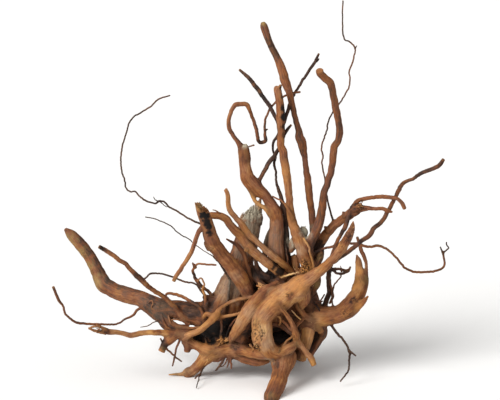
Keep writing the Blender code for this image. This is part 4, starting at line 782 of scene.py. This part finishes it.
def settle(limb, share):
    """Carry each wall point out along its spoke until it lies on the skin that all limbs share.

    The shared skin is where the smallest distance, less (blend minus difference) squared over four
    blends for the pair, is zero. Past the line where the other limb is nearer, the wall dives under
    the other's. A point goes in by 0.3 mm and out by half the blend at most. Returns the spokes,
    the reach along each of them, how close the nearest other limb is there, and its tone.
    """
    spokes = (np.cos(limb.angles)[None, :, None] * limb.side[:, None, :]
              + np.sin(limb.angles)[None, :, None] * limb.front[:, None, :])
    reach = limb.wall.copy()
    gap = np.full(reach.shape, NEAR)
    other_tone = np.full(reach.shape, limb.tone)
    for start in range(0, len(limb.along), ROWS_AT_ONCE):
        rows = slice(start, start + ROWS_AT_ONCE)
        axis = limb.middle[rows][:, None, :]
        spoke = spokes[rows]
        own_wall = limb.wall[rows]
        points = axis + spoke * own_wall[..., None]
        low = points.min((0, 1)) - NEAR
        high = points.max((0, 1)) + NEAR
        near = []
        for other in grown_limbs():
            if other is limb or (other.low > high).any() or (other.high < low).any():
                continue
            inside = (other.middle > low - other.widest) & (other.middle < high + other.widest)
            choice = np.nonzero(inside.all(1))[0]
            if not len(choice):
                continue
            row = nearest_rows(points, other, choice)
            if skin_distance(points, other, row).min() > NEAR:
                continue
            smaller = np.minimum(limb.radius[rows][:, None], other.radius[row])
            grown = limb.seed >= FINE_SEED or joined(*sorted((limb.seed, other.seed)))
            blend = share * smaller + 0.4 if grown else np.minimum(TOUCH_BLEND, smaller)
            near.append((other, row, blend, choice))
        if not near:
            continue
        blends = np.stack([blend for _, _, blend, _ in near])
        most = own_wall + blends.max(0) * 0.5
        out = own_wall.copy()
        for turn in range(SETTLE_TURNS):
            if turn == LOOK_AGAIN:
                near = [(other, nearest_rows(points, other, choice), blend, choice)
                        for other, _, blend, choice in near]
            points = axis + spoke * out[..., None]
            gaps = np.stack([skin_distance(points, other, row) for other, row, _, _ in near])
            own = out - own_wall
            closest = gaps.min(0)
            meld = (np.maximum(blends - np.abs(own - gaps), 0) ** 2 / (4 * blends)).max(0)
            dive = np.clip(SINK_SHARE * (own - closest), 0, SINK_MOST)
            out = np.clip(out - (np.minimum(own, closest) - meld + dive), own_wall - 0.3, most)
        reach[rows] = out
        gap[rows] = closest - own
        tones = np.array([other.tone for other, _, _, _ in near])
        other_tone[rows] = tones[gaps.argmin(0)]
    return spokes, reach, gap, other_tone


def splinter_heights(limb, discs, tall):
    """Heights of a broken end over points of its disc: noise of two sizes, and the end's slant."""
    coarse = soft_noise(discs / max(1.2, 0.32 * tall) + limb.seed, limb.seed + 5)
    fine = soft_noise(discs / 0.7 + limb.seed, limb.seed + 6)
    slant = limb.slant * discs[..., 0]
    return tall * (np.clip(0.5 + 0.75 * coarse + 0.3 * fine, 0, 1.5) - 0.55) + slant


def splintered_rim(limb, points, which):
    """Shift the last rows of a broken end along its way by the heights of its splinters there."""
    row = -which
    out = limb.tangent[row] * (1 if which else -1)
    from_end = np.abs(limb.along - limb.along[row])
    tall = limb.ends[which]
    weight = 1 - rise_between(from_end, 0, 2.6 * tall)
    rim = splinter_heights(limb, points[row] - limb.middle[row], tall)
    return points + weight[:, None, None] * rim[None, :, None] * out


def end_rows(limb, ring, which):
    """Rows that close an end, from the wall inwards, and the point in the middle of the last one.

    A round end follows a quarter of an ellipse, a cut end is flat with a worn edge, and a broken
    one is a field of splinters: two sizes of gradient noise over the end's disc.
    """
    style = limb.ends[which]
    row = -which
    out = limb.tangent[row] * (1 if which else -1)
    centre = limb.middle[row]
    if isinstance(style, float):
        shares = (0.93, 0.84, 0.72, 0.6, 0.47, 0.33, 0.18)
    elif style == "cut":
        shares = (0.97, 0.9, 0.7, 0.45, 0.2)
        rise = np.array((0.06, 0.1, 0.11, 0.1, 0.09, 0.09))
    else:
        turns = np.radians((16, 34, 52, 70, 90))
        shares = np.cos(turns[:-1])
        rise = np.sin(turns) * (1.5 if style == "point" else 0.6)
    discs = (ring - centre)[None] * np.append(shares, 0.02)[:, None, None]
    if isinstance(style, float):
        heights = splinter_heights(limb, discs, style)
    else:
        heights = np.repeat(rise[:, None] * limb.radius[row], ring.shape[0], axis=1)
    rows = centre + discs + heights[..., None] * out
    return rows[:-1], rows[-1].mean(0)


def stand_on_floor(limb, points):
    """Shear the last rows of a foot along its way until the very last one lies in the floor."""
    height = limb.middle[:, 2]
    last = np.nonzero(height > 0)[0][-1]
    points = points[:last + 1].copy()
    tangent = limb.tangent[:last + 1, None, :]
    from_end = limb.along[last] - limb.along[:last + 1]
    weight = 1 - rise_between(from_end, 0, 2.2 * limb.radius[last])
    level = height[:last + 1].copy()
    level[-1] = 0
    slide = (points[..., 2] - level[:, None]) / tangent[..., 2]
    points = points - tangent * (slide * weight[:, None])[..., None]
    points[-1, :, 2] = 0
    return points, last


def painted_light_and_wear_at(points, kind):
    """How strongly one kind of patch holds at points: the most of all its soft balls, whose edges
    are broken up by gradient noise. The dark, black and light kinds carry painted shade and
    highlights as well as the wood's own marks."""
    total = np.zeros(points.shape[:-1])
    rough = soft_noise(points / 4.3, 77) * 0.45 + soft_noise(points / 1.4, 78) * 0.22
    edge = (0.6, 1.15) if kind in ("black", "pits") else (0.35, 1.3)
    for across, down, toward, radius, strength in number_rows(PAINTED_LIGHT_AND_WEAR_PLACES[kind]):
        centre = sheet_to_space([(across, down, toward, 1)])[0, :3]
        away = np.linalg.norm(points - centre, axis=-1) / radius
        total = np.maximum(total, strength * (1 - rise_between(away + rough, *edge)))
    return total


def limb_surface(limb, share):
    """The closed wall of one limb: its points, faces' corners, grain places, and its tone,
    crowding, ends and pits, which carry painted light and shade as well as the wood's own colour.
    """
    spokes, reach, gap, other_tone = settle(limb, share)
    points = limb.middle[:, None, :] + spokes * reach[..., None]
    pitted = painted_light_and_wear_at(points, "pits")
    hole = rise_between(soft_noise(points / 1.3, 31), -0.06, 0.3)
    depth = pitted * (hole * 1.15 + 0.2 * soft_noise(points / 0.8, 32))
    points = points - spokes * depth[..., None]
    broken = [isinstance(style, float) for style in limb.ends]
    for which in (0, 1):
        if broken[which]:
            points = splintered_rim(limb, points, which)
    meet = 0.5 * (1 - rise_between(gap, -0.5, 3.0))
    tone = limb.tone * (1 - meet) + other_tone * meet
    # The light places lift the tone and the dark ones lower it: partly the wood's own lighter and
    # darker places, partly painted highlights on lit sides and painted shade on shaded sides and in
    # creases.
    tone = tone + 0.35 * painted_light_and_wear_at(points, "light") - 0.45 * painted_light_and_wear_at(points, "dark")
    # How closely other limbs crowd this wall, which sets the painted shade between limbs.
    crowd = 1 - rise_between(gap, -1.0, 7.0)
    last = len(limb.along) - 1
    if limb.ends[1] == "floor":
        points, last = stand_on_floor(limb, points)
        middle = points[-1].mean(0)
        inner = np.array(FLOOR_SHARES)[:, None, None]
        last_rows, last_pole = middle + (points[-1] - middle)[None] * inner, middle
    else:
        last_rows, last_pole = end_rows(limb, points[-1], 1)
    first_rows, first_pole = end_rows(limb, points[0], 0)
    grid = np.concatenate([first_rows[::-1], points, last_rows])
    before, after = len(first_rows), len(last_rows)

    def spread(table):
        """A table of the wall's rows, with its end rows repeated over the limb's ends."""
        margins = ((before, after), (0, 0), (0, 0))[:table.ndim]
        return np.pad(table[:last + 1], margins, mode="edge")

    grain = spread(np.stack([np.cos(limb.angles)[None, :] * limb.wall,
                             np.sin(limb.angles)[None, :] * limb.wall,
                             np.repeat(limb.along[:, None], len(limb.angles), 1)], -1))
    grain[:before] += 0.4 * (grid[:before] - points[0])
    grain[len(grid) - after:] += 0.4 * (grid[len(grid) - after:] - points[-1])
    ended = np.zeros(grid.shape[:2])
    for which, place in ((0, slice(0, before + 2)), (1, slice(len(grid) - after - 2, None))):
        if limb.ends[which] == "cut" or broken[which]:
            ended[place] = 1.0
    # Layers for the attributes: the tone, with its painted light and shade, the crowding, which
    # sets the painted shade between limbs, the cut ends and the pits.
    worn = (spread(tone), spread(crowd), ended, spread(pitted * hole))
    return closed_grid(grid, first_pole, last_pole, worn, grain + 17.0 * limb.seed)


def closed_grid(grid, first_pole, last_pole, worn, grain):
    """Corners of a grid that is closed round its columns and at both poles, with its attributes."""
    rows, columns = grid.shape[:2]
    number = 1 + np.arange(rows * columns).reshape(rows, columns)
    right = np.roll(number, -1, axis=1)
    quads = np.stack([number[:-1], right[:-1], right[1:], number[1:]], -1).reshape(-1, 4)
    top = rows * columns + 1
    fans = np.concatenate([
        np.stack([np.zeros(columns, int), right[0], number[0]], -1),
        np.stack([np.full(columns, top), number[-1], right[-1]], -1)])
    points = np.concatenate([[first_pole], grid.reshape(-1, 3), [last_pole]])
    flat = [np.concatenate([[a[0].mean()], a.ravel(), [a[-1].mean()]]) for a in worn]
    lines = np.concatenate([[grain[0].mean(0)], grain.reshape(-1, 3), [grain[-1].mean(0)]])
    return points, quads, fans, lines, flat


def wood_piece(name, surfaces):
    """One object from many closed walls, with its grain places, its tone, weathering and stains,
    and its painted light and shade as attributes.
    """
    offsets = np.cumsum([0] + [len(surface[0]) for surface in surfaces])
    points = np.concatenate([surface[0] for surface in surfaces])
    quads, fans = (np.concatenate([surface[i] + offset for surface, offset
                                   in zip(surfaces, offsets)]) for i in (1, 2))
    lines = np.concatenate([surface[3] for surface in surfaces])
    tone, crowd, end, sunk = np.concatenate([np.stack(surface[4]) for surface in surfaces], 1)
    points[:, 2] = np.maximum(points[:, 2], 0)
    mesh = bpy.data.meshes.new(name)
    mesh.vertices.add(len(points))
    mesh.vertices.foreach_set("co", (points * MM).astype(np.float32).ravel())
    corners = np.concatenate([quads.ravel(), fans.ravel()])
    mesh.loops.add(len(corners))
    mesh.loops.foreach_set("vertex_index", corners.astype(np.int32))
    starts = np.concatenate([np.arange(len(quads)) * 4, quads.size + np.arange(len(fans)) * 3])
    mesh.polygons.add(len(starts))
    mesh.polygons.foreach_set("loop_start", starts.astype(np.int32))
    mesh.update(calc_edges=True)
    mesh.polygons.foreach_set("use_smooth", np.ones(len(starts), bool))
    grey = painted_light_and_wear_at(points, "grey")
    # Painted shade between limbs: where other limbs crowd in, the wood turns black as if in shade,
    # less so on pale and weathered wood. It joins the black places, which are partly black stains
    # and partly painted shade in hollows.
    shadow = 0.45 * crowd ** 2 * (1 - rise_between(tone, 0.75, 0.9)) * (1 - 0.8 * grey)
    black = np.maximum(painted_light_and_wear_at(points, "black"), shadow)
    fresh = np.maximum(painted_light_and_wear_at(points, "fresh"), 0.2 * end)
    scraped = np.stack([painted_light_and_wear_at(points, "olive"), sunk, 0 * sunk], 1)
    # The tone, grey, black and fresh attribute holds painted light and shade as well as weathering
    # and stains.
    for label, values in (("grain", lines), ("wear_and_painted_light", np.stack([tone, grey, black, fresh], 1)),
                          ("scraped_and_sunk", scraped)):
        kind, field = (("FLOAT_VECTOR", "vector") if values.shape[1] == 3
                       else ("FLOAT_COLOR", "color"))
        layer = mesh.attributes.new(label, kind, "POINT")
        layer.data.foreach_set(field, values.astype(np.float32).ravel())
    mesh.materials.append(bare_wood())
    piece = bpy.data.objects.new(name, mesh)
    bpy.context.scene.collection.objects.link(piece)
    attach(piece, "root")
    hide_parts(SOLID_NODE)


def build_piece(name, limbs):
    """Settle the limbs on the whole root and make one object of them."""
    share = bpy.context.scene.spiderwood_shape.blend_share
    wood_piece(name, [limb_surface(limb, share) for limb in limbs])


def add_node(tree, kind, inputs=None, out=0, **settings):
    """Add one node with its settings, set or link its inputs, and return one of its outputs."""
    made = tree.nodes.new(kind)
    for key, value in settings.items():
        setattr(made, key, value)
    for key, value in (inputs or {}).items():
        if isinstance(value, bpy.types.NodeSocket):
            tree.links.new(value, made.inputs[key])
        else:
            made.inputs[key].default_value = value
    return made.outputs[out]


@functools.cache
def bare_wood():
    """Bare spiderwood: root wood of a heath shrub, its bark sand-blasted or worn off and left dry.
    It is matt, red-brown to tan with dark lines along the grain, and weathers grey. Its colour also
    carries painted shade in the hollows and between limbs, and painted highlights on lit places."""
    look = bpy.context.scene.spiderwood_colours
    made = bpy.data.materials.new("bare_root_wood_dry")
    made.use_nodes = True
    tree = made.node_tree
    shader = tree.nodes["Principled BSDF"]
    node = functools.partial(add_node, tree)
    grain = node("ShaderNodeAttribute", out="Vector", attribute_name="grain")
    wear_and_painted_light = node("ShaderNodeAttribute", attribute_name="wear_and_painted_light")
    tone, grey, black = node("ShaderNodeSeparateColor", {0: wear_and_painted_light}).node.outputs
    fresh = wear_and_painted_light.node.outputs["Alpha"]
    scraped = node("ShaderNodeAttribute", out="Vector", attribute_name="scraped_and_sunk")
    olive, sunk, _ = node("ShaderNodeSeparateXYZ", {0: scraped}).node.outputs
    space = node("ShaderNodeTexCoord", out="Object")

    # Streaks that follow the grain, by their width and length in mm: growth bands, fibres, the
    # finest hairs and short mottling. Over them lie patches of 35 mm.
    streaks = []
    for wide, long, detail in ((3.2, 34, 3.0), (0.9, 13, 4.0), (0.35, 6, 2.0), (1.9, 6, 2.0)):
        place = node("ShaderNodeMapping", {
            "Vector": grain, "Scale": (1 / wide, 1 / wide, 1 / long)})
        streaks.append(node("ShaderNodeTexNoise", {
            "Vector": place, "Scale": 1.0, "Detail": detail, "Roughness": 0.6}))
    band, fibre, hair, mottle = streaks
    broad = node("ShaderNodeTexNoise", {"Vector": space, "Scale": 1 / 0.035, "Detail": 3.0})
    shade = tone
    for pattern, weight in ((broad, 0.7), (band, 0.8), (mottle, 0.62), (fibre, 0.55)):
        lower = node("ShaderNodeMath", {0: shade, 1: -weight / 2}, operation="ADD")
        shade = node("ShaderNodeMath", {0: pattern, 1: weight, 2: lower}, operation="MULTIPLY_ADD")
    ramp = node("ShaderNodeValToRGB", {
        0: node("ShaderNodeMath", {0: shade, 1: 0.8}, operation="MULTIPLY")})
    stops = ((0.0, look.bark), (0.2, look.dark_wood), (0.4, look.red_wood),
             (0.6, look.tan_wood), (0.8, look.bright_wood), (0.96, look.split_wood))
    steps = ramp.node.color_ramp.elements
    while len(steps) < len(stops):
        steps.new(0.5)
    for step, (place, colour) in zip(steps, stops):
        step.position = place
        step.color = shaded(colour)
    # The wood is yellower and more violet by turns, in patches of 16 mm.
    patches = node("ShaderNodeTexNoise", {"Vector": space, "Scale": 1 / 0.016, "Detail": 4.0})
    tint = node("ShaderNodeMix", {
        0: node("ShaderNodeMapRange", {0: patches, 1: 0.38, 2: 0.62}), 6: WARM_TINT, 7: COOL_TINT},
        out=2, data_type="RGBA")
    colour = node("ShaderNodeMix", {0: 1.0, 6: ramp, 7: tint}, out=2, data_type="RGBA",
                  blend_type="MULTIPLY")
    scraped_wood = node("ShaderNodeMix", {
        0: band, 6: shaded(look.olive_wood, 0.55), 7: shaded(look.olive_wood, 1.4)},
        out=2, data_type="RGBA")
    bleached_wood = node("ShaderNodeMix", {
        0: fibre, 6: shaded(look.grey_wood, 0.6), 7: shaded(look.grey_wood, 1.15)},
        out=2, data_type="RGBA")
    from_middle = node("ShaderNodeMath", {0: fibre, 1: 0.5}, operation="SUBTRACT")
    line = node("ShaderNodeMapRange", {
        0: node("ShaderNodeMath", {0: from_middle}, operation="ABSOLUTE"),
        1: 0.0, 2: 0.035, 3: 0.22, 4: 0.0})
    half_mottle = node("ShaderNodeMath", {0: mottle, 1: 0.5}, operation="MULTIPLY")
    stain = node("ShaderNodeMapRange", {
        0: node("ShaderNodeMath", {0: band, 1: 0.5, 2: half_mottle}, operation="MULTIPLY_ADD"),
        1: 0.54, 2: 0.66, 3: 0.0, 4: 0.55})
    # Paints over the ramp in turn: scraped, fresh and weathered wood, grain lines, stains, the
    # pits, and last the black, which is black stains and painted shade in hollows and between
    # limbs.
    for share, paint in ((olive, scraped_wood), (fresh, shaded(look.fresh_wood)),
                         (grey, bleached_wood), (line, shaded(look.dark_wood, 0.55)),
                         (stain, shaded(look.dark_wood)), (sunk, shaded(look.bark)),
                         (black, shaded(look.black_stain_and_shade))):
        colour = node("ShaderNodeMix", {0: share, 6: colour, 7: paint}, out=2, data_type="RGBA")
    tree.links.new(colour, shader.inputs["Base Color"])
    rough = node("ShaderNodeMapRange", {0: fibre, 1: 0.3, 2: 0.7, 3: 0.58, 4: 0.8})
    tree.links.new(rough, shader.inputs["Roughness"])
    shader.inputs["Specular IOR Level"].default_value = 0.22
    height = node("ShaderNodeMath", {0: hair, 1: 0.2}, operation="MULTIPLY")
    for pattern, weight in ((fibre, 0.5), (band, 0.6)):
        height = node("ShaderNodeMath", {0: pattern, 1: weight, 2: height},
                      operation="MULTIPLY_ADD")
    height = node("ShaderNodeMath", {0: height, 1: line}, operation="SUBTRACT")
    bump = node("ShaderNodeBump", {"Strength": 0.5, "Distance": 0.0005, "Height": height})
    tree.links.new(bump, shader.inputs["Normal"])
    return made


class SpiderwoodShape(bpy.types.PropertyGroup):
    """Sizes of the root's surface."""

    blend_share: bpy.props.FloatProperty(
        name="Blend",
        description="Width of the blend where limbs meet, per radius of the thinner one",
        default=1.5, min=0.1, max=4.0)


class SpiderwoodColours(bpy.types.PropertyGroup):
    """Colours of the wood, from bark to fresh wood."""

    bark: bpy.props.FloatVectorProperty(
        name="Bark", description="Dried inner bark on the finest twigs", subtype="COLOR",
        default=linear("#2C1B14"))
    dark_wood: bpy.props.FloatVectorProperty(
        name="Dark wood", description="Stained wood", subtype="COLOR", default=linear("#4E3526"))
    red_wood: bpy.props.FloatVectorProperty(
        name="Red wood", description="Red-brown wood of the stems", subtype="COLOR",
        default=linear("#7B492B"))
    tan_wood: bpy.props.FloatVectorProperty(
        name="Tan wood", description="Dry tan wood of the limbs", subtype="COLOR",
        default=linear("#9C6C42"))
    bright_wood: bpy.props.FloatVectorProperty(
        name="Bright wood", description="The lightest bare wood", subtype="COLOR",
        default=linear("#BC8C5A"))
    split_wood: bpy.props.FloatVectorProperty(
        name="Split wood", description="Cream splinters", subtype="COLOR",
        default=linear("#DFB781"))
    olive_wood: bpy.props.FloatVectorProperty(
        name="Scraped wood", description="Olive-tan scraped places", subtype="COLOR",
        default=linear("#907545"))
    fresh_wood: bpy.props.FloatVectorProperty(
        name="Fresh wood", description="Orange torn wood", subtype="COLOR",
        default=linear("#BE8246"))
    grey_wood: bpy.props.FloatVectorProperty(
        name="Weathered wood", description="Pale grey-green old breaks", subtype="COLOR",
        default=linear("#B2A993"))
    # This black is also the painted shade in the hollows and between limbs.
    black_stain_and_shade: bpy.props.FloatVectorProperty(
        name="Blackened wood", description="Black stains and old bark", subtype="COLOR",
        default=linear("#100A08"))


class SpiderwoodStage(bpy.types.PropertyGroup):
    """The plain studio round the root."""

    floor_colour: bpy.props.FloatVectorProperty(
        name="Floor", description="Plain pale floor", subtype="COLOR", default=linear("#F4F3F1"))
    key: bpy.props.FloatProperty(
        name="Key light", description="Strength of the soft light from the front left", default=3.8)
    rim: bpy.props.FloatProperty(
        name="Rim light", description="Strength of the weak light from above", default=0.6)
    sky: bpy.props.FloatProperty(
        name="Surround", description="Strength of the white surround", default=0.34)


class SPIDERWOOD_OT_crown(bpy.types.Operator):
    """Build the heart of the crown with its straps, webs and legs"""

    bl_idname = "spiderwood.crown"
    bl_label = "Crown"

    def execute(self, context):
        build_piece("crown_limbs", grown_pieces()["crown_limbs"])
        return {"FINISHED"}


class SPIDERWOOD_OT_left(bpy.types.Operator):
    """Build the limbs and roots of the left side"""

    bl_idname = "spiderwood.left"
    bl_label = "Left limbs"

    def execute(self, context):
        build_piece("left_limbs", grown_pieces()["left_limbs"])
        return {"FINISHED"}


class SPIDERWOOD_OT_stems(bpy.types.Operator):
    """Build the tall stems and sticks"""

    bl_idname = "spiderwood.stems"
    bl_label = "Tall stems"

    def execute(self, context):
        build_piece("tall_stems", grown_pieces()["tall_stems"])
        return {"FINISHED"}


class SPIDERWOOD_OT_right(bpy.types.Operator):
    """Build the arms and the horn of the right side"""

    bl_idname = "spiderwood.right"
    bl_label = "Right limbs"

    def execute(self, context):
        build_piece("right_limbs", grown_pieces()["right_limbs"])
        return {"FINISHED"}


class SPIDERWOOD_OT_back(bpy.types.Operator):
    """Build the roots that run away from the front"""

    bl_idname = "spiderwood.back"
    bl_label = "Back roots"

    def execute(self, context):
        build_piece("back_roots", grown_pieces()["back_roots"])
        return {"FINISHED"}


class SPIDERWOOD_OT_rootlets(bpy.types.Operator):
    """Build the hair-like rootlets"""

    bl_idname = "spiderwood.rootlets"
    bl_label = "Rootlets"

    def execute(self, context):
        build_piece("fine_rootlets", read_limbs(FINE_ROUTES, FINE_SEED))
        return {"FINISHED"}


class SPIDERWOOD_OT_splinters(bpy.types.Operator):
    """Build the bunches of splinters at the torn places"""

    bl_idname = "spiderwood.splinters"
    bl_label = "Splinters"

    def execute(self, context):
        build_piece("torn_splinters", splinter_limbs())
        return {"FINISHED"}


def add_sun(name, way, width, power):
    """A soft sun that shines along a way, as wide in the sky as the given degrees."""
    lamp = bpy.data.lights.new(name, "SUN")
    lamp.energy = power
    lamp.angle = math.radians(width)
    light = bpy.data.objects.new(name, lamp)
    bpy.context.scene.collection.objects.link(light)
    light.rotation_euler = (math.atan2(math.hypot(way[0], way[1]), -way[2]), 0,
                            math.atan2(way[1], way[0]) - math.pi / 2)


class SPIDERWOOD_OT_stage(bpy.types.Operator):
    """Build the pale floor, the soft lights and the camera at the photograph's angle"""

    bl_idname = "spiderwood.stage"
    bl_label = "Stage"

    def execute(self, context):
        stage = context.scene.spiderwood_stage
        mesh = bpy.data.meshes.new("floor")
        corners = np.array(((-12, -6, 0), (12, -6, 0), (12, 14, 0), (-12, 14, 0)), float)
        mesh.from_pydata(corners, [], [(0, 1, 2, 3)])
        floor = bpy.data.objects.new("floor", mesh)
        context.scene.collection.objects.link(floor)
        paper = bpy.data.materials.new("matt_white_paper")
        paper.use_nodes = True
        shader = paper.node_tree.nodes["Principled BSDF"]
        shader.inputs["Base Color"].default_value = shaded(stage.floor_colour)
        shader.inputs["Roughness"].default_value = 0.95
        shader.inputs["Specular IOR Level"].default_value = 0.1
        mesh.materials.append(paper)
        add_sun("key", (0.9, 0.85, -0.8), 34, stage.key)
        add_sun("rim", (-0.3, 0.2, -1.0), 60, stage.rim)
        world = bpy.data.worlds.new("white_surround")
        world.use_nodes = True
        glow = world.node_tree.nodes["Background"]
        glow.inputs["Color"].default_value = (1, 1, 1, 1)
        glow.inputs["Strength"].default_value = stage.sky
        context.scene.world = world
        lens = bpy.data.cameras.new("camera")
        lens.sensor_width = 36
        lens.lens = 144
        lens.clip_end = 50
        camera = bpy.data.objects.new("camera", lens)
        context.scene.collection.objects.link(camera)
        eye = EYE_DISTANCE * MM
        camera.location = (SHIFT_X * MM, SHIFT_Y * MM - eye * LEVEL,
                           SHEET_MIDDLE_HEIGHT * MM + eye * DROP)
        camera.rotation_euler = (math.radians(90) - EYE_TILT, 0, 0)
        context.scene.camera = camera
        context.scene.view_settings.view_transform = "Standard"
        return {"FINISHED"}


OPERATORS = (SPIDERWOOD_OT_crown, SPIDERWOOD_OT_left, SPIDERWOOD_OT_stems, SPIDERWOOD_OT_right,
             SPIDERWOOD_OT_back, SPIDERWOOD_OT_rootlets, SPIDERWOOD_OT_splinters,
             SPIDERWOOD_OT_stage)


class SPIDERWOOD_PT_panel(bpy.types.Panel):
    """Buttons for the parts of the root, and its sizes and colours"""

    bl_idname = "SPIDERWOOD_PT_panel"
    bl_label = "Spiderwood"
    bl_space_type = "VIEW_3D"
    bl_region_type = "UI"
    bl_category = "Spiderwood"

    def draw(self, context):
        for group in (context.scene.spiderwood_shape, context.scene.spiderwood_colours,
                      context.scene.spiderwood_stage):
            for name in group.bl_rna.properties.keys():
                if name not in ("rna_type", "name"):
                    self.layout.prop(group, name)
        for operator in OPERATORS:
            self.layout.operator(operator.bl_idname)


SETTINGS = {"spiderwood_shape": SpiderwoodShape, "spiderwood_colours": SpiderwoodColours,
            "spiderwood_stage": SpiderwoodStage}


def register():
    """Register the settings, the operators and the panel."""
    for name, group in SETTINGS.items():
        bpy.utils.register_class(group)
        setattr(bpy.types.Scene, name, bpy.props.PointerProperty(type=group))
    for item in OPERATORS + (SPIDERWOOD_PT_panel,):
        bpy.utils.register_class(item)


def unregister():
    """Take the panel, the operators and the settings away again."""
    for item in (SPIDERWOOD_PT_panel,) + OPERATORS[::-1]:
        bpy.utils.unregister_class(item)
    for name, group in SETTINGS.items():
        delattr(bpy.types.Scene, name)
        bpy.utils.unregister_class(group)


def main():
    """Register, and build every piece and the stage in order."""
    register()
    for operator in OPERATORS:
        group, name = operator.bl_idname.split(".")
        getattr(getattr(bpy.ops, group), name)()


if __name__ == "__main__":
    main()
